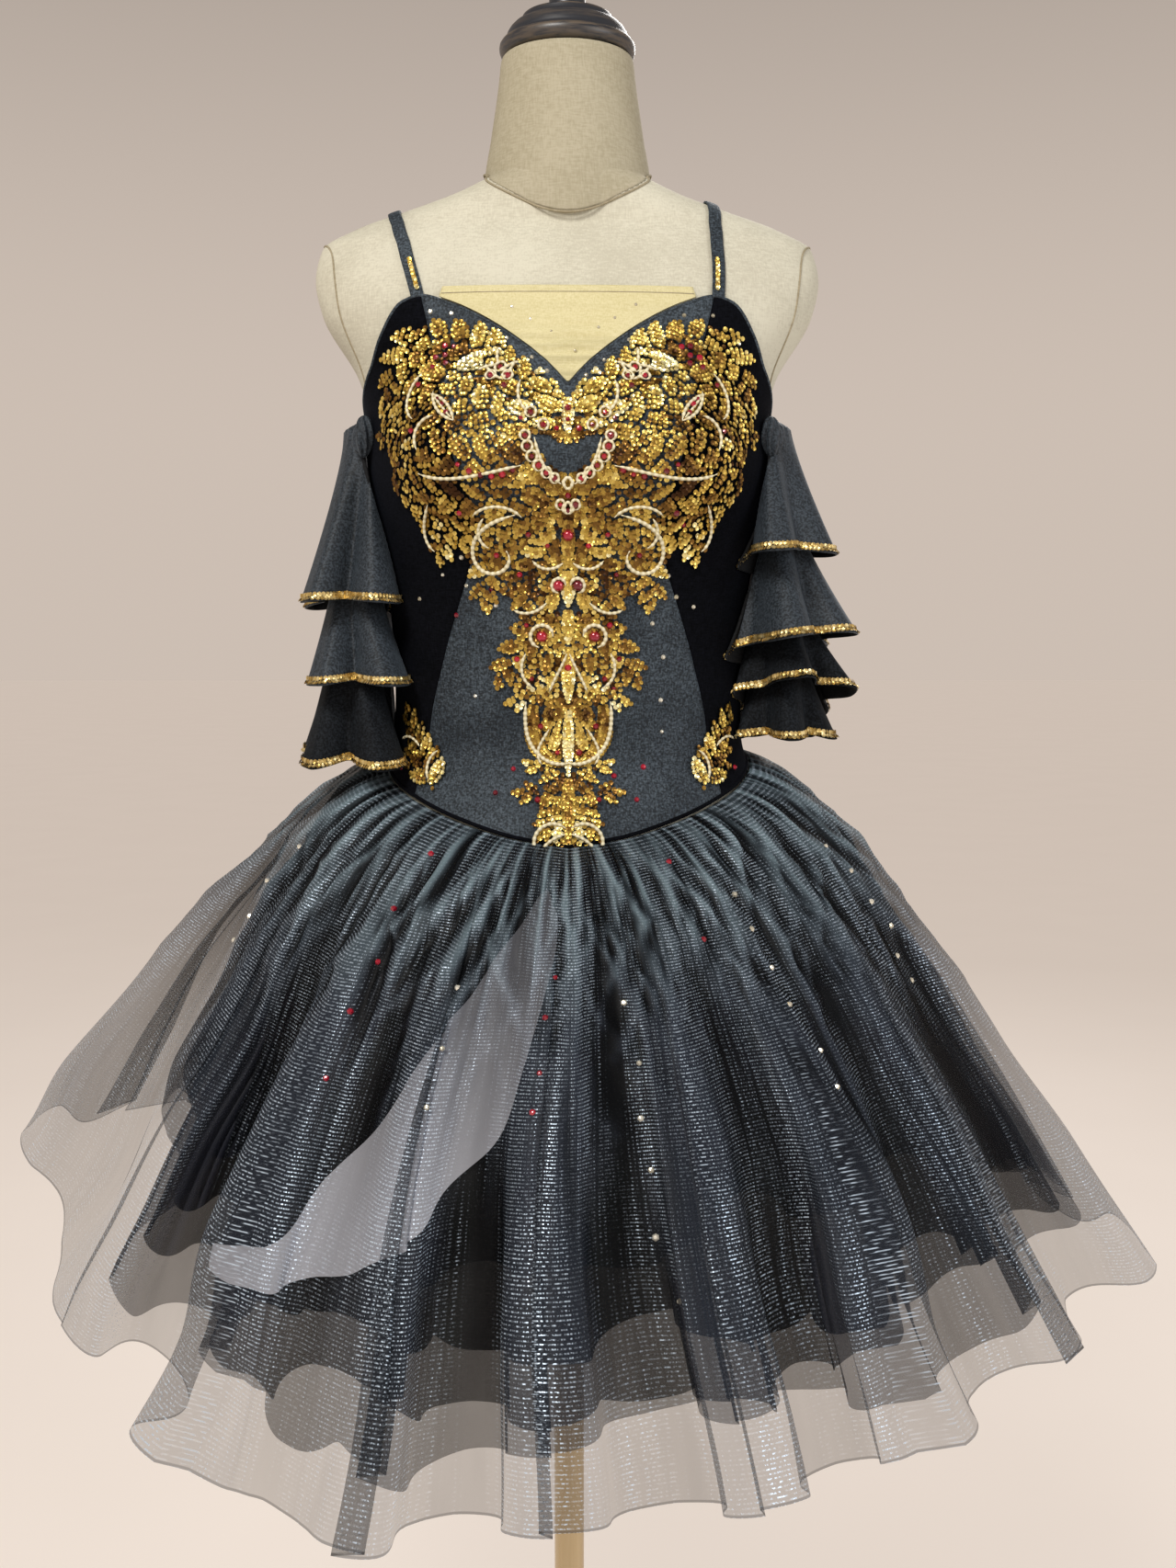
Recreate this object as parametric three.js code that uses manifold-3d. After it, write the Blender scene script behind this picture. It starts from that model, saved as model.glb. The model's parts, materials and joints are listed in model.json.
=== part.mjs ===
// A skating dress on a limbless dress form with its stand: a fitted bodice with a nude insert and shoulder
// straps, sequinned appliques, two four-tier flounced sleeves with braided hems, and a skirt of tulle layers.
// Millimetres, +Z up. The origin is the centre of the stand's foot, on the floor; the front faces -Y.
// Angles ("turn") are degrees round the form's axis: 0 at the front, positive towards +X.

import * as THREE from "three";
import { mergeVertices } from "three/addons/utils/BufferGeometryUtils.js";
import Module from "manifold-3d";

// ---------------------------------------------------------------- driving dimensions

const TORSO_FOOT_Z = 800; // the form's flat underside
const TORSO_TOP_Z = 1448;
const NECK_FOOT_Z = 1396;
const NECK_TOP_Z = 1538;
const GAP = 0.3; // between pieces that meet

const POLE_RADIUS = 12;
const FOOT_RADIUS = 150;
const FOOT_HEIGHT = 22;
const FLANGE_RADIUS = 45;
const FLANGE_HEIGHT = 14;

const CLOTH = 1.6; // bodice cloth
const CLOTH_CLEARANCE = 2.5; // bodice to form
const APPLIQUE = 1.6;
const APPLIQUE_CLEARANCE = 2.2;
const SEAM_GAP = 0.4;
const STRAP_WIDTH = 9.5;
const STRAP_THICKNESS = 1.8;

const TULLE = 1; // wall of one skirt layer
const FLUTE_DEPTH = 52; // ridge to valley at the hem
const FLOUNCE = 1.1; // wall of one sleeve tier
const BRAID_HEIGHT = 7;
const BRAID = 1.6;

// ---------------------------------------------------------------- tables

// Rows under named columns, as objects.
const table = (names, rows) =>
  rows.map((row) => Object.fromEntries(names.map((name, i) => [name, row[i]])));

// The form's level sections: half width, depth in front of and behind the axis, and the squareness of the oval.
const FORM = table(["z", "half", "front", "back", "square"], [
  [800, 156, 100, 108, 2.2],
  [835, 168, 112, 118, 2.2],
  [900, 165, 113, 116, 2.2],
  [960, 152, 107, 102, 2.2],
  [1000, 139, 98, 89, 2.2],
  [1035, 130, 92, 82, 2.2],
  [1080, 129, 95, 83, 2.2],
  [1130, 132, 99, 88, 2.25],
  [1180, 139, 104, 93, 2.3],
  [1240, 147, 109, 98, 2.4],
  [1270, 148, 106, 99, 2.45],
  [1300, 156, 99, 98, 2.5],
  [1350, 184, 84, 90, 2.5],
  [1375, 189, 74, 82, 2.4],
  [1398, 184, 61, 70, 2.3],
  [1412, 160, 55, 64, 2.2],
  [1424, 125, 55, 61, 2.1],
  [1436, 90, 56, 58, 2],
  [1448, 62, 56, 56, 2],
]);

// The two gentle bust swells of the form.
const BUST = { turn: 31, z: 1238, height: 22, turnSpread: 25, zSpread: 52 };

// The neck block's level sections.
const NECK = table(["z", "half", "front", "back"], [
  [NECK_FOOT_Z, 63, 61, 60],
  [1448, 62, 58, 58],
  [1480, 57, 54, 55],
  [1520, 51, 50, 50],
  [NECK_TOP_Z, 49, 48, 48],
]);

// The turned cap on the neck and the knob on it: height above the neck's top, and radius.
const CAP = table(["rise", "radius"], [
  [0.4, 46], [1.5, 48.5], [5, 50.5], [9, 50.5], [12, 48.5], [13.5, 46], [16, 45],
  [21, 42.5], [25, 38], [27, 34], [28.5, 33.5], [30, 33],
]);
const KNOB = table(["rise", "radius"], [
  [30.3, 17], [34, 16.5], [36, 13.5], [46, 13.5], [48, 16], [51, 16], [53, 12.5],
  [58, 15.5], [64, 17.5], [70, 16], [75, 10.5], [78, 5],
]);

// The bodice's top edge, from the centre front's V over the cup's point and round the back.
const TOP_EDGE = table(["turn", "z"], [
  [0, 1284], [8, 1304], [20, 1321], [34, 1335], [46, 1345], [54, 1351], [58, 1347],
  [62, 1327], [67, 1305], [78, 1284], [90, 1266], [120, 1254], [150, 1249], [180, 1247],
]);
// The seam that joins bodice and skirt, dipping to a point at the centre front.
const WAIST_SEAM = table(["turn", "z"], [
  [0, 961], [20, 967], [41, 979], [63, 996], [85, 1014], [100, 1021], [130, 1027], [180, 1030],
]);
// The princess seam between front and side panels.
const PRINCESS = table(["z", "turn"], [
  [960, 58], [1000, 59], [1045, 57], [1093, 50], [1133, 42], [1165, 35], [1196, 30],
  [1238, 33], [1300, 45], [1352, 54],
]);
const BUST_PIECE_TURN = 60; // where the bust piece ends at each side
const STEM_TOP_Z = 1128;
const STEM_FOOT_Z = 964;
const HIP_PIECE_TOP_Z = 1060;
const HIP_PIECE_FOOT_Z = 1000;
const INSERT_TOP_Z = 1356;
const INSERT_TURN = 49;

// The outlines of the appliques: the bust piece by turn, the stem down the centre front by height.
const BUST_PIECE = table(["turn", "top", "bottom"], [
  [0, 1275, 1136], [10, 1291, 1132], [20, 1309, 1131], [32, 1322, 1146], [42, 1334, 1186],
  [50, 1335, 1198], [56, 1318, 1228], [60, 1300, 1262],
]);
const STEM = table(["z", "half"], [
  [962, 19], [990, 30], [1003, 16], [1022, 29], [1046, 28], [1062, 24], [1074, 58], [1092, 46], [1128, 38],
]);
const HIP_PIECE = table(["z", "inner", "outer"], [
  [998, 50, 56], [1012, 53, 63], [1030, 57, 69], [1048, 61, 70], [1060, 63, 67],
]);

// The straps' routes over the shoulders, before they are laid on the form; x is for the left strap.
const STRAP = table(["left", "right", "y", "z"], [
  [-108, 108, -80, 1355], [-114, 109, -74, 1376], [-120, 108, -60, 1398], [-126, 106, -38, 1416],
  [-129, 104, -10, 1426], [-129, 104, 16, 1426], [-125, 103, 44, 1412], [-117, 99, 74, 1380],
  [-106, 94, 92, 1335], [-96, 89, 100, 1292], [-90, 86, 102, 1255],
]);

// The skirt's envelope at the hem, by turn: the radius of the flutes' ridges, for the net overlay and for the
// tulle under it, and the height.
const HEM = table(["turn", "net", "tulle", "z"], [
  [-180, 420, 402, 640], [-150, 415, 396, 648], [-120, 424, 380, 680], [-88, 430, 352, 728], [-75, 412, 356, 692],
  [-60, 388, 382, 640], [-40, 392, 392, 612], [-20, 414, 414, 606], [0, 424, 424, 634], [20, 416, 416, 640],
  [40, 398, 398, 632], [60, 408, 408, 638], [75, 428, 418, 642], [88, 440, 420, 640], [120, 440, 412, 626],
  [150, 430, 408, 628], [180, 420, 402, 640],
]);
// Where the skirt's flutes stand proud, as turns.
const FLUTES = [-86, -62, -40, -20, -2, 16, 35, 56, 82, 108, 133, 158, 180, 202, 227, 250];
const SKIRT_ROWS = [0, 0.14, 0.42, 0.72, 1];
const FLARE_OUT = 0.85; // how soon the skirt moves out and down along its length
const FLARE_DOWN = 1.1;
const PETAL_ROWS = 4;
const PETAL_PLACE = { envelope: "net", inset: 2.8, spread: 7 };
// The skirt's layers from the outside in: share of the full length, and how far each lies inside the envelope.
const LAYERS = table(["name", "envelope", "reach", "inset", "spread"], [
  ["skirt_net_overlay", "net", 1, 0, 0],
  ["skirt_tulle_1", "tulle", 0.93, 3.6, 14],
  ["skirt_tulle_2", "tulle", 0.88, 5.4, 24],
  ["skirt_tulle_3", "tulle", 0.82, 7.2, 34],
  ["skirt_lining", "tulle", 0.7, 9, 44],
]);
// The pale petal under the net, by turn.
const PETAL = table(["turn", "top", "bottom"], [
  [-40, 740, 724], [-35, 760, 730], [-30, 792, 741], [-20, 856, 770], [-11, 906, 812], [-6.5, 924, 850], [-2, 918, 894],
]);

// The sleeves hang limp from the armholes: a narrow base tube, and the flounces sewn round it one below the
// other. The base's level ovals; x is for the right side.
const SLEEVE_BASE = table(["z", "x", "y", "halfX", "halfY"], [
  [1266, 158, 2, 10, 44], [1180, 160, -4, 14, 38], [1100, 163, -8, 17, 36],
]);
// The flounces: the height of the top seam, the hem's height, centre, half sizes and slopes.
const HEM_COLUMNS = ["top", "hem", "x", "y", "halfX", "halfY", "slopeX", "slopeY"];
const SLEEVES = {
  left: {
    side: -1, valley: -0.12, depth: 0.26,
    tiers: table(HEM_COLUMNS, [
      [1264, 1134, -159, -14, 48, 82, -0.02, -0.05],
      [1168, 1076, -153, -14, 50, 84, 0, -0.02],
      [1108, 1021, -163, -16, 47, 72, 0, 0.08],
    ]),
  },
  right: {
    side: 1, valley: 0.55, depth: 0.22,
    tiers: table(HEM_COLUMNS, [
      [1266, 1168, 155, -14, 47, 82, 0.06, -0.08],
      [1200, 1103, 164, -14, 57, 86, 0.15, -0.12],
      [1136, 1062, 170, -12, 51, 78, 0.03, -0.28],
      [1094, 1034, 167, -12, 38, 68, 0, -0.05],
    ]),
  },
};
const SLEEVE_TURNS = 20;
const SLEEVE_SHARES = [0, 0.5];
const SLEEVE_LOBES = 5;
const SLEEVE_CLEARANCE = 4.6; // hem to bodice
const SLEEVE_TAPER = 5; // how much further off the bodice a flounce's top seam is than its hem
const SLEEVE_EASE = 2.2; // flounce to base tube at the top seam

// Colour, roughness and metalness of the finishes.
const FINISH = {
  canvas: { color: 0xd9d2bf, roughness: 0.85, metalness: 0 },
  ebony: { color: 0x2b2d33, roughness: 0.35, metalness: 0.1 },
  steel: { color: 0xb9a98c, roughness: 0.25, metalness: 0.9 },
  jersey: { color: 0x23262e, roughness: 0.7, metalness: 0 },
  velvet: { color: 0x0b0c10, roughness: 0.9, metalness: 0 },
  nude: { color: 0xdccf9c, roughness: 0.7, metalness: 0 },
  flounce: { color: 0x2a2f36, roughness: 0.65, metalness: 0 },
  gold: { color: 0xb98a35, roughness: 0.35, metalness: 0.8 },
  net: { color: 0x3d4250, roughness: 0.5, metalness: 0.1 },
  tulle: { color: 0x15171d, roughness: 0.8, metalness: 0 },
  pale: { color: 0xb9b5bd, roughness: 0.7, metalness: 0 },
};

// ---------------------------------------------------------------- curves and the form's surface

const radians = THREE.MathUtils.degToRad;

// A smooth curve through a table's points that never overshoots them (monotone cubic).
function curve(rows, from, to) {
  const x = rows.map((r) => r[from]);
  const y = rows.map((r) => r[to]);
  const slope = x.slice(1).map((v, i) => (y[i + 1] - y[i]) / (v - x[i]));
  const tangent = x.map((_, i) => {
    if (i === 0) return slope[0];
    if (i === x.length - 1) return slope[i - 1];
    const [a, b] = [slope[i - 1], slope[i]];
    return a * b <= 0 ? 0 : (2 * a * b) / (a + b);
  });
  return (at) => {
    const v = THREE.MathUtils.clamp(at, x[0], x[x.length - 1]);
    let i = x.findIndex((_, k) => k > 0 && v <= x[k]) - 1;
    if (i < 0) i = 0;
    const h = x[i + 1] - x[i];
    const t = (v - x[i]) / h;
    const bend = (p, q) => h * (p * tangent[i] * (1 - t) - q * tangent[i + 1] * t);
    return y[i] + (y[i + 1] - y[i]) * t * t * (3 - 2 * t) + bend(t * (1 - t), t * (1 - t));
  };
}

const formHalf = curve(FORM, "z", "half");
const formFront = curve(FORM, "z", "front");
const formBack = curve(FORM, "z", "back");
const formSquare = curve(FORM, "z", "square");

const superOval = (turn, half, depth, square) =>
  (Math.abs(Math.sin(turn) / half) ** square + Math.abs(Math.cos(turn) / depth) ** square) ** (-1 / square);

// The form's radius at an angle in radians and a height.
function formRadius(turn, z) {
  const depth = Math.cos(turn) > 0 ? formFront(z) : formBack(z);
  const swell = (side) =>
    BUST.height *
    Math.exp(
      -(((turn - side * radians(BUST.turn)) / radians(BUST.turnSpread)) ** 2) - ((z - BUST.z) / BUST.zSpread) ** 2,
    );
  return superOval(turn, formHalf(z), depth, formSquare(z)) + swell(-1) + swell(1);
}

const polar = (turn, radius, z) => new THREE.Vector3(radius * Math.sin(turn), -radius * Math.cos(turn), z);

// How far outside the form a point lies, and the way straight out of it.
function awayFromForm(p) {
  const level = (q) => Math.hypot(q.x, q.y) - formRadius(Math.atan2(q.x, -q.y), q.z);
  const step = 0.5;
  const out = new THREE.Vector3(
    level(p.clone().setX(p.x + step)) - level(p.clone().setX(p.x - step)),
    level(p.clone().setY(p.y + step)) - level(p.clone().setY(p.y - step)),
    level(p.clone().setZ(p.z + step)) - level(p.clone().setZ(p.z - step)),
  ).divideScalar(2 * step);
  const steepness = out.length();
  return { distance: level(p) / steepness, out: out.divideScalar(steepness) };
}

// The point moved straight in or out until it lies this far off the form.
function laidOnForm(p, distance) {
  const q = p.clone();
  for (let i = 0; i < 6; i += 1) {
    const at = awayFromForm(q);
    q.addScaledVector(at.out, distance - at.distance);
  }
  return q;
}

// The point, moved out if it lies nearer to the form than this.
function clearOfForm(p, distance) {
  return awayFromForm(p).distance < distance ? laidOnForm(p, distance) : p;
}

// ---------------------------------------------------------------- solids from grids of points

// A geometry from points and triangles, facing out.
function geometryOf(points, triangles) {
  let volume = 0;
  for (const [a, b, c] of triangles) volume += points[a].dot(points[b].clone().cross(points[c]));
  const faces = volume < 0 ? triangles.map(([a, b, c]) => [a, c, b]) : triangles;
  const geometry = new THREE.BufferGeometry();
  geometry.setAttribute("position", new THREE.Float32BufferAttribute(points.flatMap((p) => p.toArray()), 3));
  geometry.setIndex(faces.flat());
  geometry.computeVertexNormals();
  return geometry;
}

// A solid through closed rings of points, with flat ends.
function loft(rings) {
  const n = rings[0].length;
  const points = rings.flat();
  const triangles = [];
  for (let j = 0; j + 1 < rings.length; j += 1)
    for (let i = 0; i < n; i += 1) {
      const [a, b] = [j * n + i, j * n + ((i + 1) % n)];
      triangles.push([a, b, b + n], [a, b + n, a + n]);
    }
  for (const [j, flip] of [[0, true], [rings.length - 1, false]]) {
    const middle = points.length;
    points.push(rings[j].reduce((s, p) => s.add(p), new THREE.Vector3()).divideScalar(n));
    for (let i = 0; i < n; i += 1) {
      const [a, b] = [j * n + i, j * n + ((i + 1) % n)];
      triangles.push(flip ? [b, a, middle] : [a, b, middle]);
    }
  }
  return geometryOf(points, triangles);
}

// A solid wall from a grid of points: the grid is its outer face, and the other lies a thickness inside, where
// inwards(point) points. Rows run down; closed grids go all round.
function wall(grid, thickness, closed, inwards) {
  const [rows, n] = [grid.length, grid[0].length];
  const outer = grid.flat();
  const points = [...outer, ...outer.map((p) => p.clone().addScaledVector(inwards(p), thickness))];
  const at = (j, i, layer) => layer * rows * n + j * n + (i % n);
  const triangles = [];
  const quad = (a, b, c, d) => triangles.push([a, b, c], [a, c, d]);
  const across = closed ? n : n - 1;
  for (let j = 0; j + 1 < rows; j += 1)
    for (let i = 0; i < across; i += 1) {
      quad(at(j, i, 0), at(j, i + 1, 0), at(j + 1, i + 1, 0), at(j + 1, i, 0));
      quad(at(j, i, 1), at(j + 1, i, 1), at(j + 1, i + 1, 1), at(j, i + 1, 1));
    }
  for (let i = 0; i < across; i += 1) {
    quad(at(0, i, 0), at(0, i, 1), at(0, i + 1, 1), at(0, i + 1, 0));
    quad(at(rows - 1, i, 0), at(rows - 1, i + 1, 0), at(rows - 1, i + 1, 1), at(rows - 1, i, 1));
  }
  if (!closed)
    for (let j = 0; j + 1 < rows; j += 1) {
      quad(at(j, 0, 0), at(j + 1, 0, 0), at(j + 1, 0, 1), at(j, 0, 1));
      quad(at(j, n - 1, 0), at(j, n - 1, 1), at(j + 1, n - 1, 1), at(j + 1, n - 1, 0));
    }
  return geometryOf(points, triangles);
}

const steps = (count) => Array.from({ length: count + 1 }, (_, i) => i / count);
const mix = THREE.MathUtils.lerp;

// A panel that lies on the form: left and right edges by height, top and bottom edges by turn (degrees).
function panel({ left, right, top, bottom, columns, rows, distance, thickness }) {
  const grid = steps(rows).map((down) =>
    steps(columns).map((along) => {
      let z = mix(top(0), bottom(0), down);
      let turn = 0;
      for (let i = 0; i < 12; i += 1) {
        const inset = THREE.MathUtils.radToDeg(SEAM_GAP / 2 / formRadius(radians(turn), z));
        turn = mix(left(z) + inset, right(z) - inset, along);
        z = mix(top(turn), bottom(turn), down);
      }
      return laidOnForm(polar(radians(turn), formRadius(radians(turn), z) + distance, z), distance);
    }),
  );
  return wall(grid, thickness, false, (p) => awayFromForm(p).out.negate());
}

// ---------------------------------------------------------------- the pieces

const dress = new THREE.Group();

function add(name, geometry, finish) {
  const mesh = new THREE.Mesh(geometry, new THREE.MeshStandardMaterial({ name: finish, ...FINISH[finish] }));
  mesh.name = name;
  dress.add(mesh);
}

// ---- the form and its stand

const FORM_TURNS = 36;
const turnsOf = (count) => Array.from({ length: count }, (_, i) => (2 * Math.PI * i) / count);

function neckRing(z, extra) {
  const [half, front, back] = ["half", "front", "back"].map((column) => curve(NECK, "z", column)(z));
  return turnsOf(FORM_TURNS).map((turn) =>
    polar(turn, superOval(turn, half, Math.cos(turn) > 0 ? front : back, 2) + extra, z),
  );
}

const wasm = await Module();
wasm.setup();

function manifold(geometry) {
  const bare = new THREE.BufferGeometry().setAttribute("position", geometry.getAttribute("position"));
  bare.setIndex(geometry.getIndex());
  const merged = mergeVertices(bare, 1e-4);
  const { array } = merged.getAttribute("position");
  return new wasm.Manifold(
    new wasm.Mesh({ numProp: 3, vertProperties: array, triVerts: new Uint32Array(merged.getIndex().array) }),
  );
}

function fromManifold(solid) {
  const { vertProperties, triVerts, numProp } = solid.getMesh();
  const geometry = new THREE.BufferGeometry();
  const points = Array.from({ length: vertProperties.length / numProp }, (_, i) =>
    Array.from(vertProperties.subarray(i * numProp, i * numProp + 3)),
  );
  geometry.setAttribute("position", new THREE.Float32BufferAttribute(points.flat(), 3));
  geometry.setIndex(Array.from(triVerts));
  geometry.computeVertexNormals();
  return geometry;
}

function addForm() {
  const heights = [800, 820, 850, 900, 940, 975, 1005, 1035, 1080, 1130, 1170, 1205, 1240, 1270, 1300, 1325, 1350, 1375,
    1392, 1404, 1416, 1430, TORSO_TOP_Z];
  const torso = loft(heights.map((z) => turnsOf(FORM_TURNS).map((turn) => polar(turn, formRadius(turn, z), z))));
  const socket = loft([NECK_FOOT_Z - GAP, 1448, 1480].map((z) => neckRing(Math.max(z, NECK_FOOT_Z), GAP).map((p) => p.setZ(z))));
  add("form_torso", fromManifold(manifold(torso).subtract(manifold(socket))), "canvas");
  add("form_neck", loft(NECK.map(({ z }) => neckRing(z, 0))), "canvas");
  for (const [name, profile] of [["neck_cap", CAP], ["neck_knob", KNOB]]) {
    const rings = profile.map(({ rise, radius }) =>
      turnsOf(24).map((turn) => polar(turn, radius, NECK_TOP_Z + rise)),
    );
    add(name, loft(rings), "ebony");
  }
}

function addStand() {
  const disc = (rows) => loft(rows.map(([z, radius]) => turnsOf(24).map((turn) => polar(turn, radius, z))));
  const flangeFoot = TORSO_FOOT_Z - GAP - FLANGE_HEIGHT;
  add("stand_flange", disc([[flangeFoot, 18], [flangeFoot + 8, 22], [flangeFoot + 8, FLANGE_RADIUS],
    [TORSO_FOOT_Z - GAP, FLANGE_RADIUS]]), "steel");
  add("stand_pole", disc([[FOOT_HEIGHT + GAP, POLE_RADIUS], [flangeFoot - GAP, POLE_RADIUS]]), "steel");
  add("stand_foot", disc([[0, FOOT_RADIUS - 3], [3, FOOT_RADIUS], [7, FOOT_RADIUS - 1], [12, FOOT_RADIUS * 0.8],
    [16, 40], [18, 22], [FOOT_HEIGHT, 20]]), "steel");
}

// ---- the bodice

const topEdge = (turn) => curve(TOP_EDGE, "turn", "z")(Math.abs(turn));
const waistSeam = (turn) => curve(WAIST_SEAM, "turn", "z")(Math.abs(turn));
const princess = curve(PRINCESS, "z", "turn");
const constant = (value) => () => value;
const bodiceFace = CLOTH_CLEARANCE + CLOTH;

function addBodice() {
  const cloth = { top: topEdge, bottom: waistSeam, distance: bodiceFace, thickness: CLOTH };
  add("bodice_front", panel({ ...cloth, left: (z) => -princess(z), right: princess, columns: 16, rows: 15 }), "jersey");
  for (const [name, side] of [["left", -1], ["right", 1]]) {
    const [from, to] = [(z) => side * princess(z), constant(side * 90)];
    const edges = side > 0 ? { left: from, right: to } : { left: to, right: from };
    add(`bodice_side_${name}`, panel({ ...cloth, ...edges, columns: 6, rows: 15 }), "velvet");
    const [backFrom, backTo] = side > 0 ? [90, 180] : [-180, -90];
    const back = { left: constant(backFrom), right: constant(backTo) };
    add(`bodice_back_${name}`, panel({ ...cloth, ...back, columns: 8, rows: 8 }), "velvet");
  }
  add("bodice_insert", panel({
    left: constant(-INSERT_TURN), right: constant(INSERT_TURN), top: constant(INSERT_TOP_Z),
    bottom: (turn) => topEdge(turn) + 1.2, columns: 12, rows: 3, distance: bodiceFace - 0.3, thickness: 1,
  }), "nude");
}

function addStraps() {
  for (const [name, column] of [["left", "left"], ["right", "right"]]) {
    const route = new THREE.CatmullRomCurve3(STRAP.map((r) => new THREE.Vector3(r[column], r.y, r.z)));
    const distance = CLOTH_CLEARANCE + STRAP_THICKNESS;
    const middle = route.getPoints(16).map((p) => laidOnForm(p, distance));
    const grid = middle.map((p, i) => {
      const along = middle[Math.min(i + 1, 16)].clone().sub(middle[Math.max(i - 1, 0)]).normalize();
      const across = along.cross(awayFromForm(p).out).normalize().multiplyScalar(STRAP_WIDTH / 2);
      return [p.clone().sub(across), p.clone(), p.clone().add(across)];
    });
    add(`strap_${name}`, wall(grid, STRAP_THICKNESS, false, (p) => awayFromForm(p).out.negate()), "jersey");
  }
}

// ---- the appliques, made from the bodice's own surface, moved out

function addAppliques() {
  const raised = { distance: bodiceFace + APPLIQUE_CLEARANCE + APPLIQUE, thickness: APPLIQUE };
  const bust = (column) => (turn) => curve(BUST_PIECE, "turn", column)(Math.abs(turn));
  add("applique_bust", panel({
    ...raised, left: constant(-BUST_PIECE_TURN), right: constant(BUST_PIECE_TURN),
    top: bust("top"), bottom: bust("bottom"), columns: 20, rows: 10,
  }), "gold");
  const stemTurn = (z) => THREE.MathUtils.radToDeg(curve(STEM, "z", "half")(z) / formRadius(0, z));
  add("applique_stem", panel({
    ...raised, left: (z) => -stemTurn(z), right: stemTurn, top: constant(STEM_TOP_Z),
    bottom: constant(STEM_FOOT_Z), columns: 6, rows: 16,
  }), "gold");
  for (const [name, side] of [["left", -1], ["right", 1]]) {
    const edge = (column) => (z) => side * curve(HIP_PIECE, "z", column)(z);
    const [inner, outer] = [edge("inner"), edge("outer")];
    add(`applique_hip_${name}`, panel({
      ...raised, left: side > 0 ? inner : outer, right: side > 0 ? outer : inner,
      top: constant(HIP_PIECE_TOP_Z), bottom: constant(HIP_PIECE_FOOT_Z), columns: 2, rows: 5,
    }), "gold");
  }
}

// ---- the sleeves

const baseOval = (z) =>
  Object.fromEntries(["x", "y", "halfX", "halfY"].map((column) => [column, baseCurves[column](z)]));
const baseRows = [...SLEEVE_BASE].reverse();
const baseCurves = Object.fromEntries(
  ["x", "y", "halfX", "halfY"].map((column) => [column, curve(baseRows, "z", column)]),
);

const ovalPoint = (middleX, { y, halfX, halfY }, turn, extra, z) =>
  new THREE.Vector3(middleX + (halfX + extra) * Math.sin(turn), y - (halfY + extra) * Math.cos(turn), z);

// A flounce's point at an angle and a share of the way down: from the base's oval to the hem's, pinched into lobes.
function flouncePoint(sleeve, tier, turn, down) {
  const base = baseOval(tier.top);
  const top = ovalPoint(sleeve.side * base.x, base, turn, SLEEVE_EASE, tier.top);
  const pinch = (0.5 + 0.5 * Math.cos(SLEEVE_LOBES * (turn - sleeve.valley))) ** 1.5;
  const lobe = 1 - sleeve.depth * pinch;
  const hem = new THREE.Vector3(tier.x + tier.halfX * lobe * Math.sin(turn), tier.y - tier.halfY * lobe * Math.cos(turn));
  hem.z = tier.hem + tier.slopeX * (hem.x - tier.x) + tier.slopeY * (hem.y - tier.y);
  const point = top.clone().lerp(hem, down ** 1.2);
  point.z = mix(top.z, hem.z, down);
  return clearOfForm(point, bodiceFace + SLEEVE_CLEARANCE + SLEEVE_TAPER * (1 - down));
}

function flounceGrid(sleeve, tier, shares) {
  return shares.map((down) => turnsOf(SLEEVE_TURNS).map((turn) => flouncePoint(sleeve, tier, turn, down)));
}

// Straight towards the middle of the ring that a point belongs to, level.
function towardsMiddle(grid) {
  const middles = new Map();
  for (const row of grid) {
    const middle = row.reduce((s, p) => s.add(p), new THREE.Vector3()).divideScalar(row.length);
    row.forEach((p, i) => {
      const round = row[(i + 1) % row.length].clone().sub(row[(i + row.length - 1) % row.length]);
      const inwards = new THREE.Vector3(round.y, -round.x, 0).normalize();
      if (inwards.dot(middle.clone().sub(p)) < 0) inwards.negate();
      middles.set(p, inwards);
    });
  }
  return (p) => middles.get(p);
}

function addSleeves() {
  for (const [name, sleeve] of Object.entries(SLEEVES)) {
    const lowest = sleeve.tiers.at(-1).top - 6;
    const clearance = bodiceFace + SLEEVE_CLEARANCE + SLEEVE_TAPER + SLEEVE_EASE;
    const base = steps(3).map((down) => {
      const z = mix(SLEEVE_BASE[0].z, lowest, down);
      const oval = baseOval(z);
      return turnsOf(SLEEVE_TURNS).map((turn) =>
        clearOfForm(ovalPoint(sleeve.side * oval.x, oval, turn, 0, z), clearance),
      );
    });
    add(`sleeve_${name}_base`, wall(base, FLOUNCE, true, towardsMiddle(base)), "flounce");
    sleeve.tiers.forEach((tier, order) => {
      const braidTop = 1 - BRAID_HEIGHT / (tier.top - tier.hem);
      const grid = flounceGrid(sleeve, tier, [...SLEEVE_SHARES, braidTop, 1]);
      const inwards = towardsMiddle(grid);
      add(`sleeve_${name}_tier_${order + 1}`, wall(grid, FLOUNCE, true, inwards), "flounce");
      const faces = grid.slice(-2).map((row) => row.map((p) => p.clone().addScaledVector(inwards(p), -(GAP + BRAID))));
      add(`sleeve_${name}_braid_${order + 1}`, wall(faces, BRAID, true, towardsMiddle(faces)), "gold");
    });
  }
}

// ---- the skirt

const hemRadius = { net: curve(HEM, "turn", "net"), tulle: curve(HEM, "turn", "tulle") };
const hemZ = curve(HEM, "turn", "z");

// The flutes' peaks, valleys and the points between them, as pairs of turn (radians) and ridge (1 to 0).
function fluteStations() {
  const stations = [];
  FLUTES.forEach((peak, i) => {
    const next = i + 1 < FLUTES.length ? FLUTES[i + 1] : FLUTES[0] + 360;
    for (const share of [0, 0.25, 0.5, 0.75])
      stations.push({ turn: radians(mix(peak, next, share)), ridge: 0.5 + 0.5 * Math.cos(2 * Math.PI * share) });
  });
  return stations;
}

const wrapped = (turn) => THREE.MathUtils.euclideanModulo(turn + 180, 360) - 180;

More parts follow.
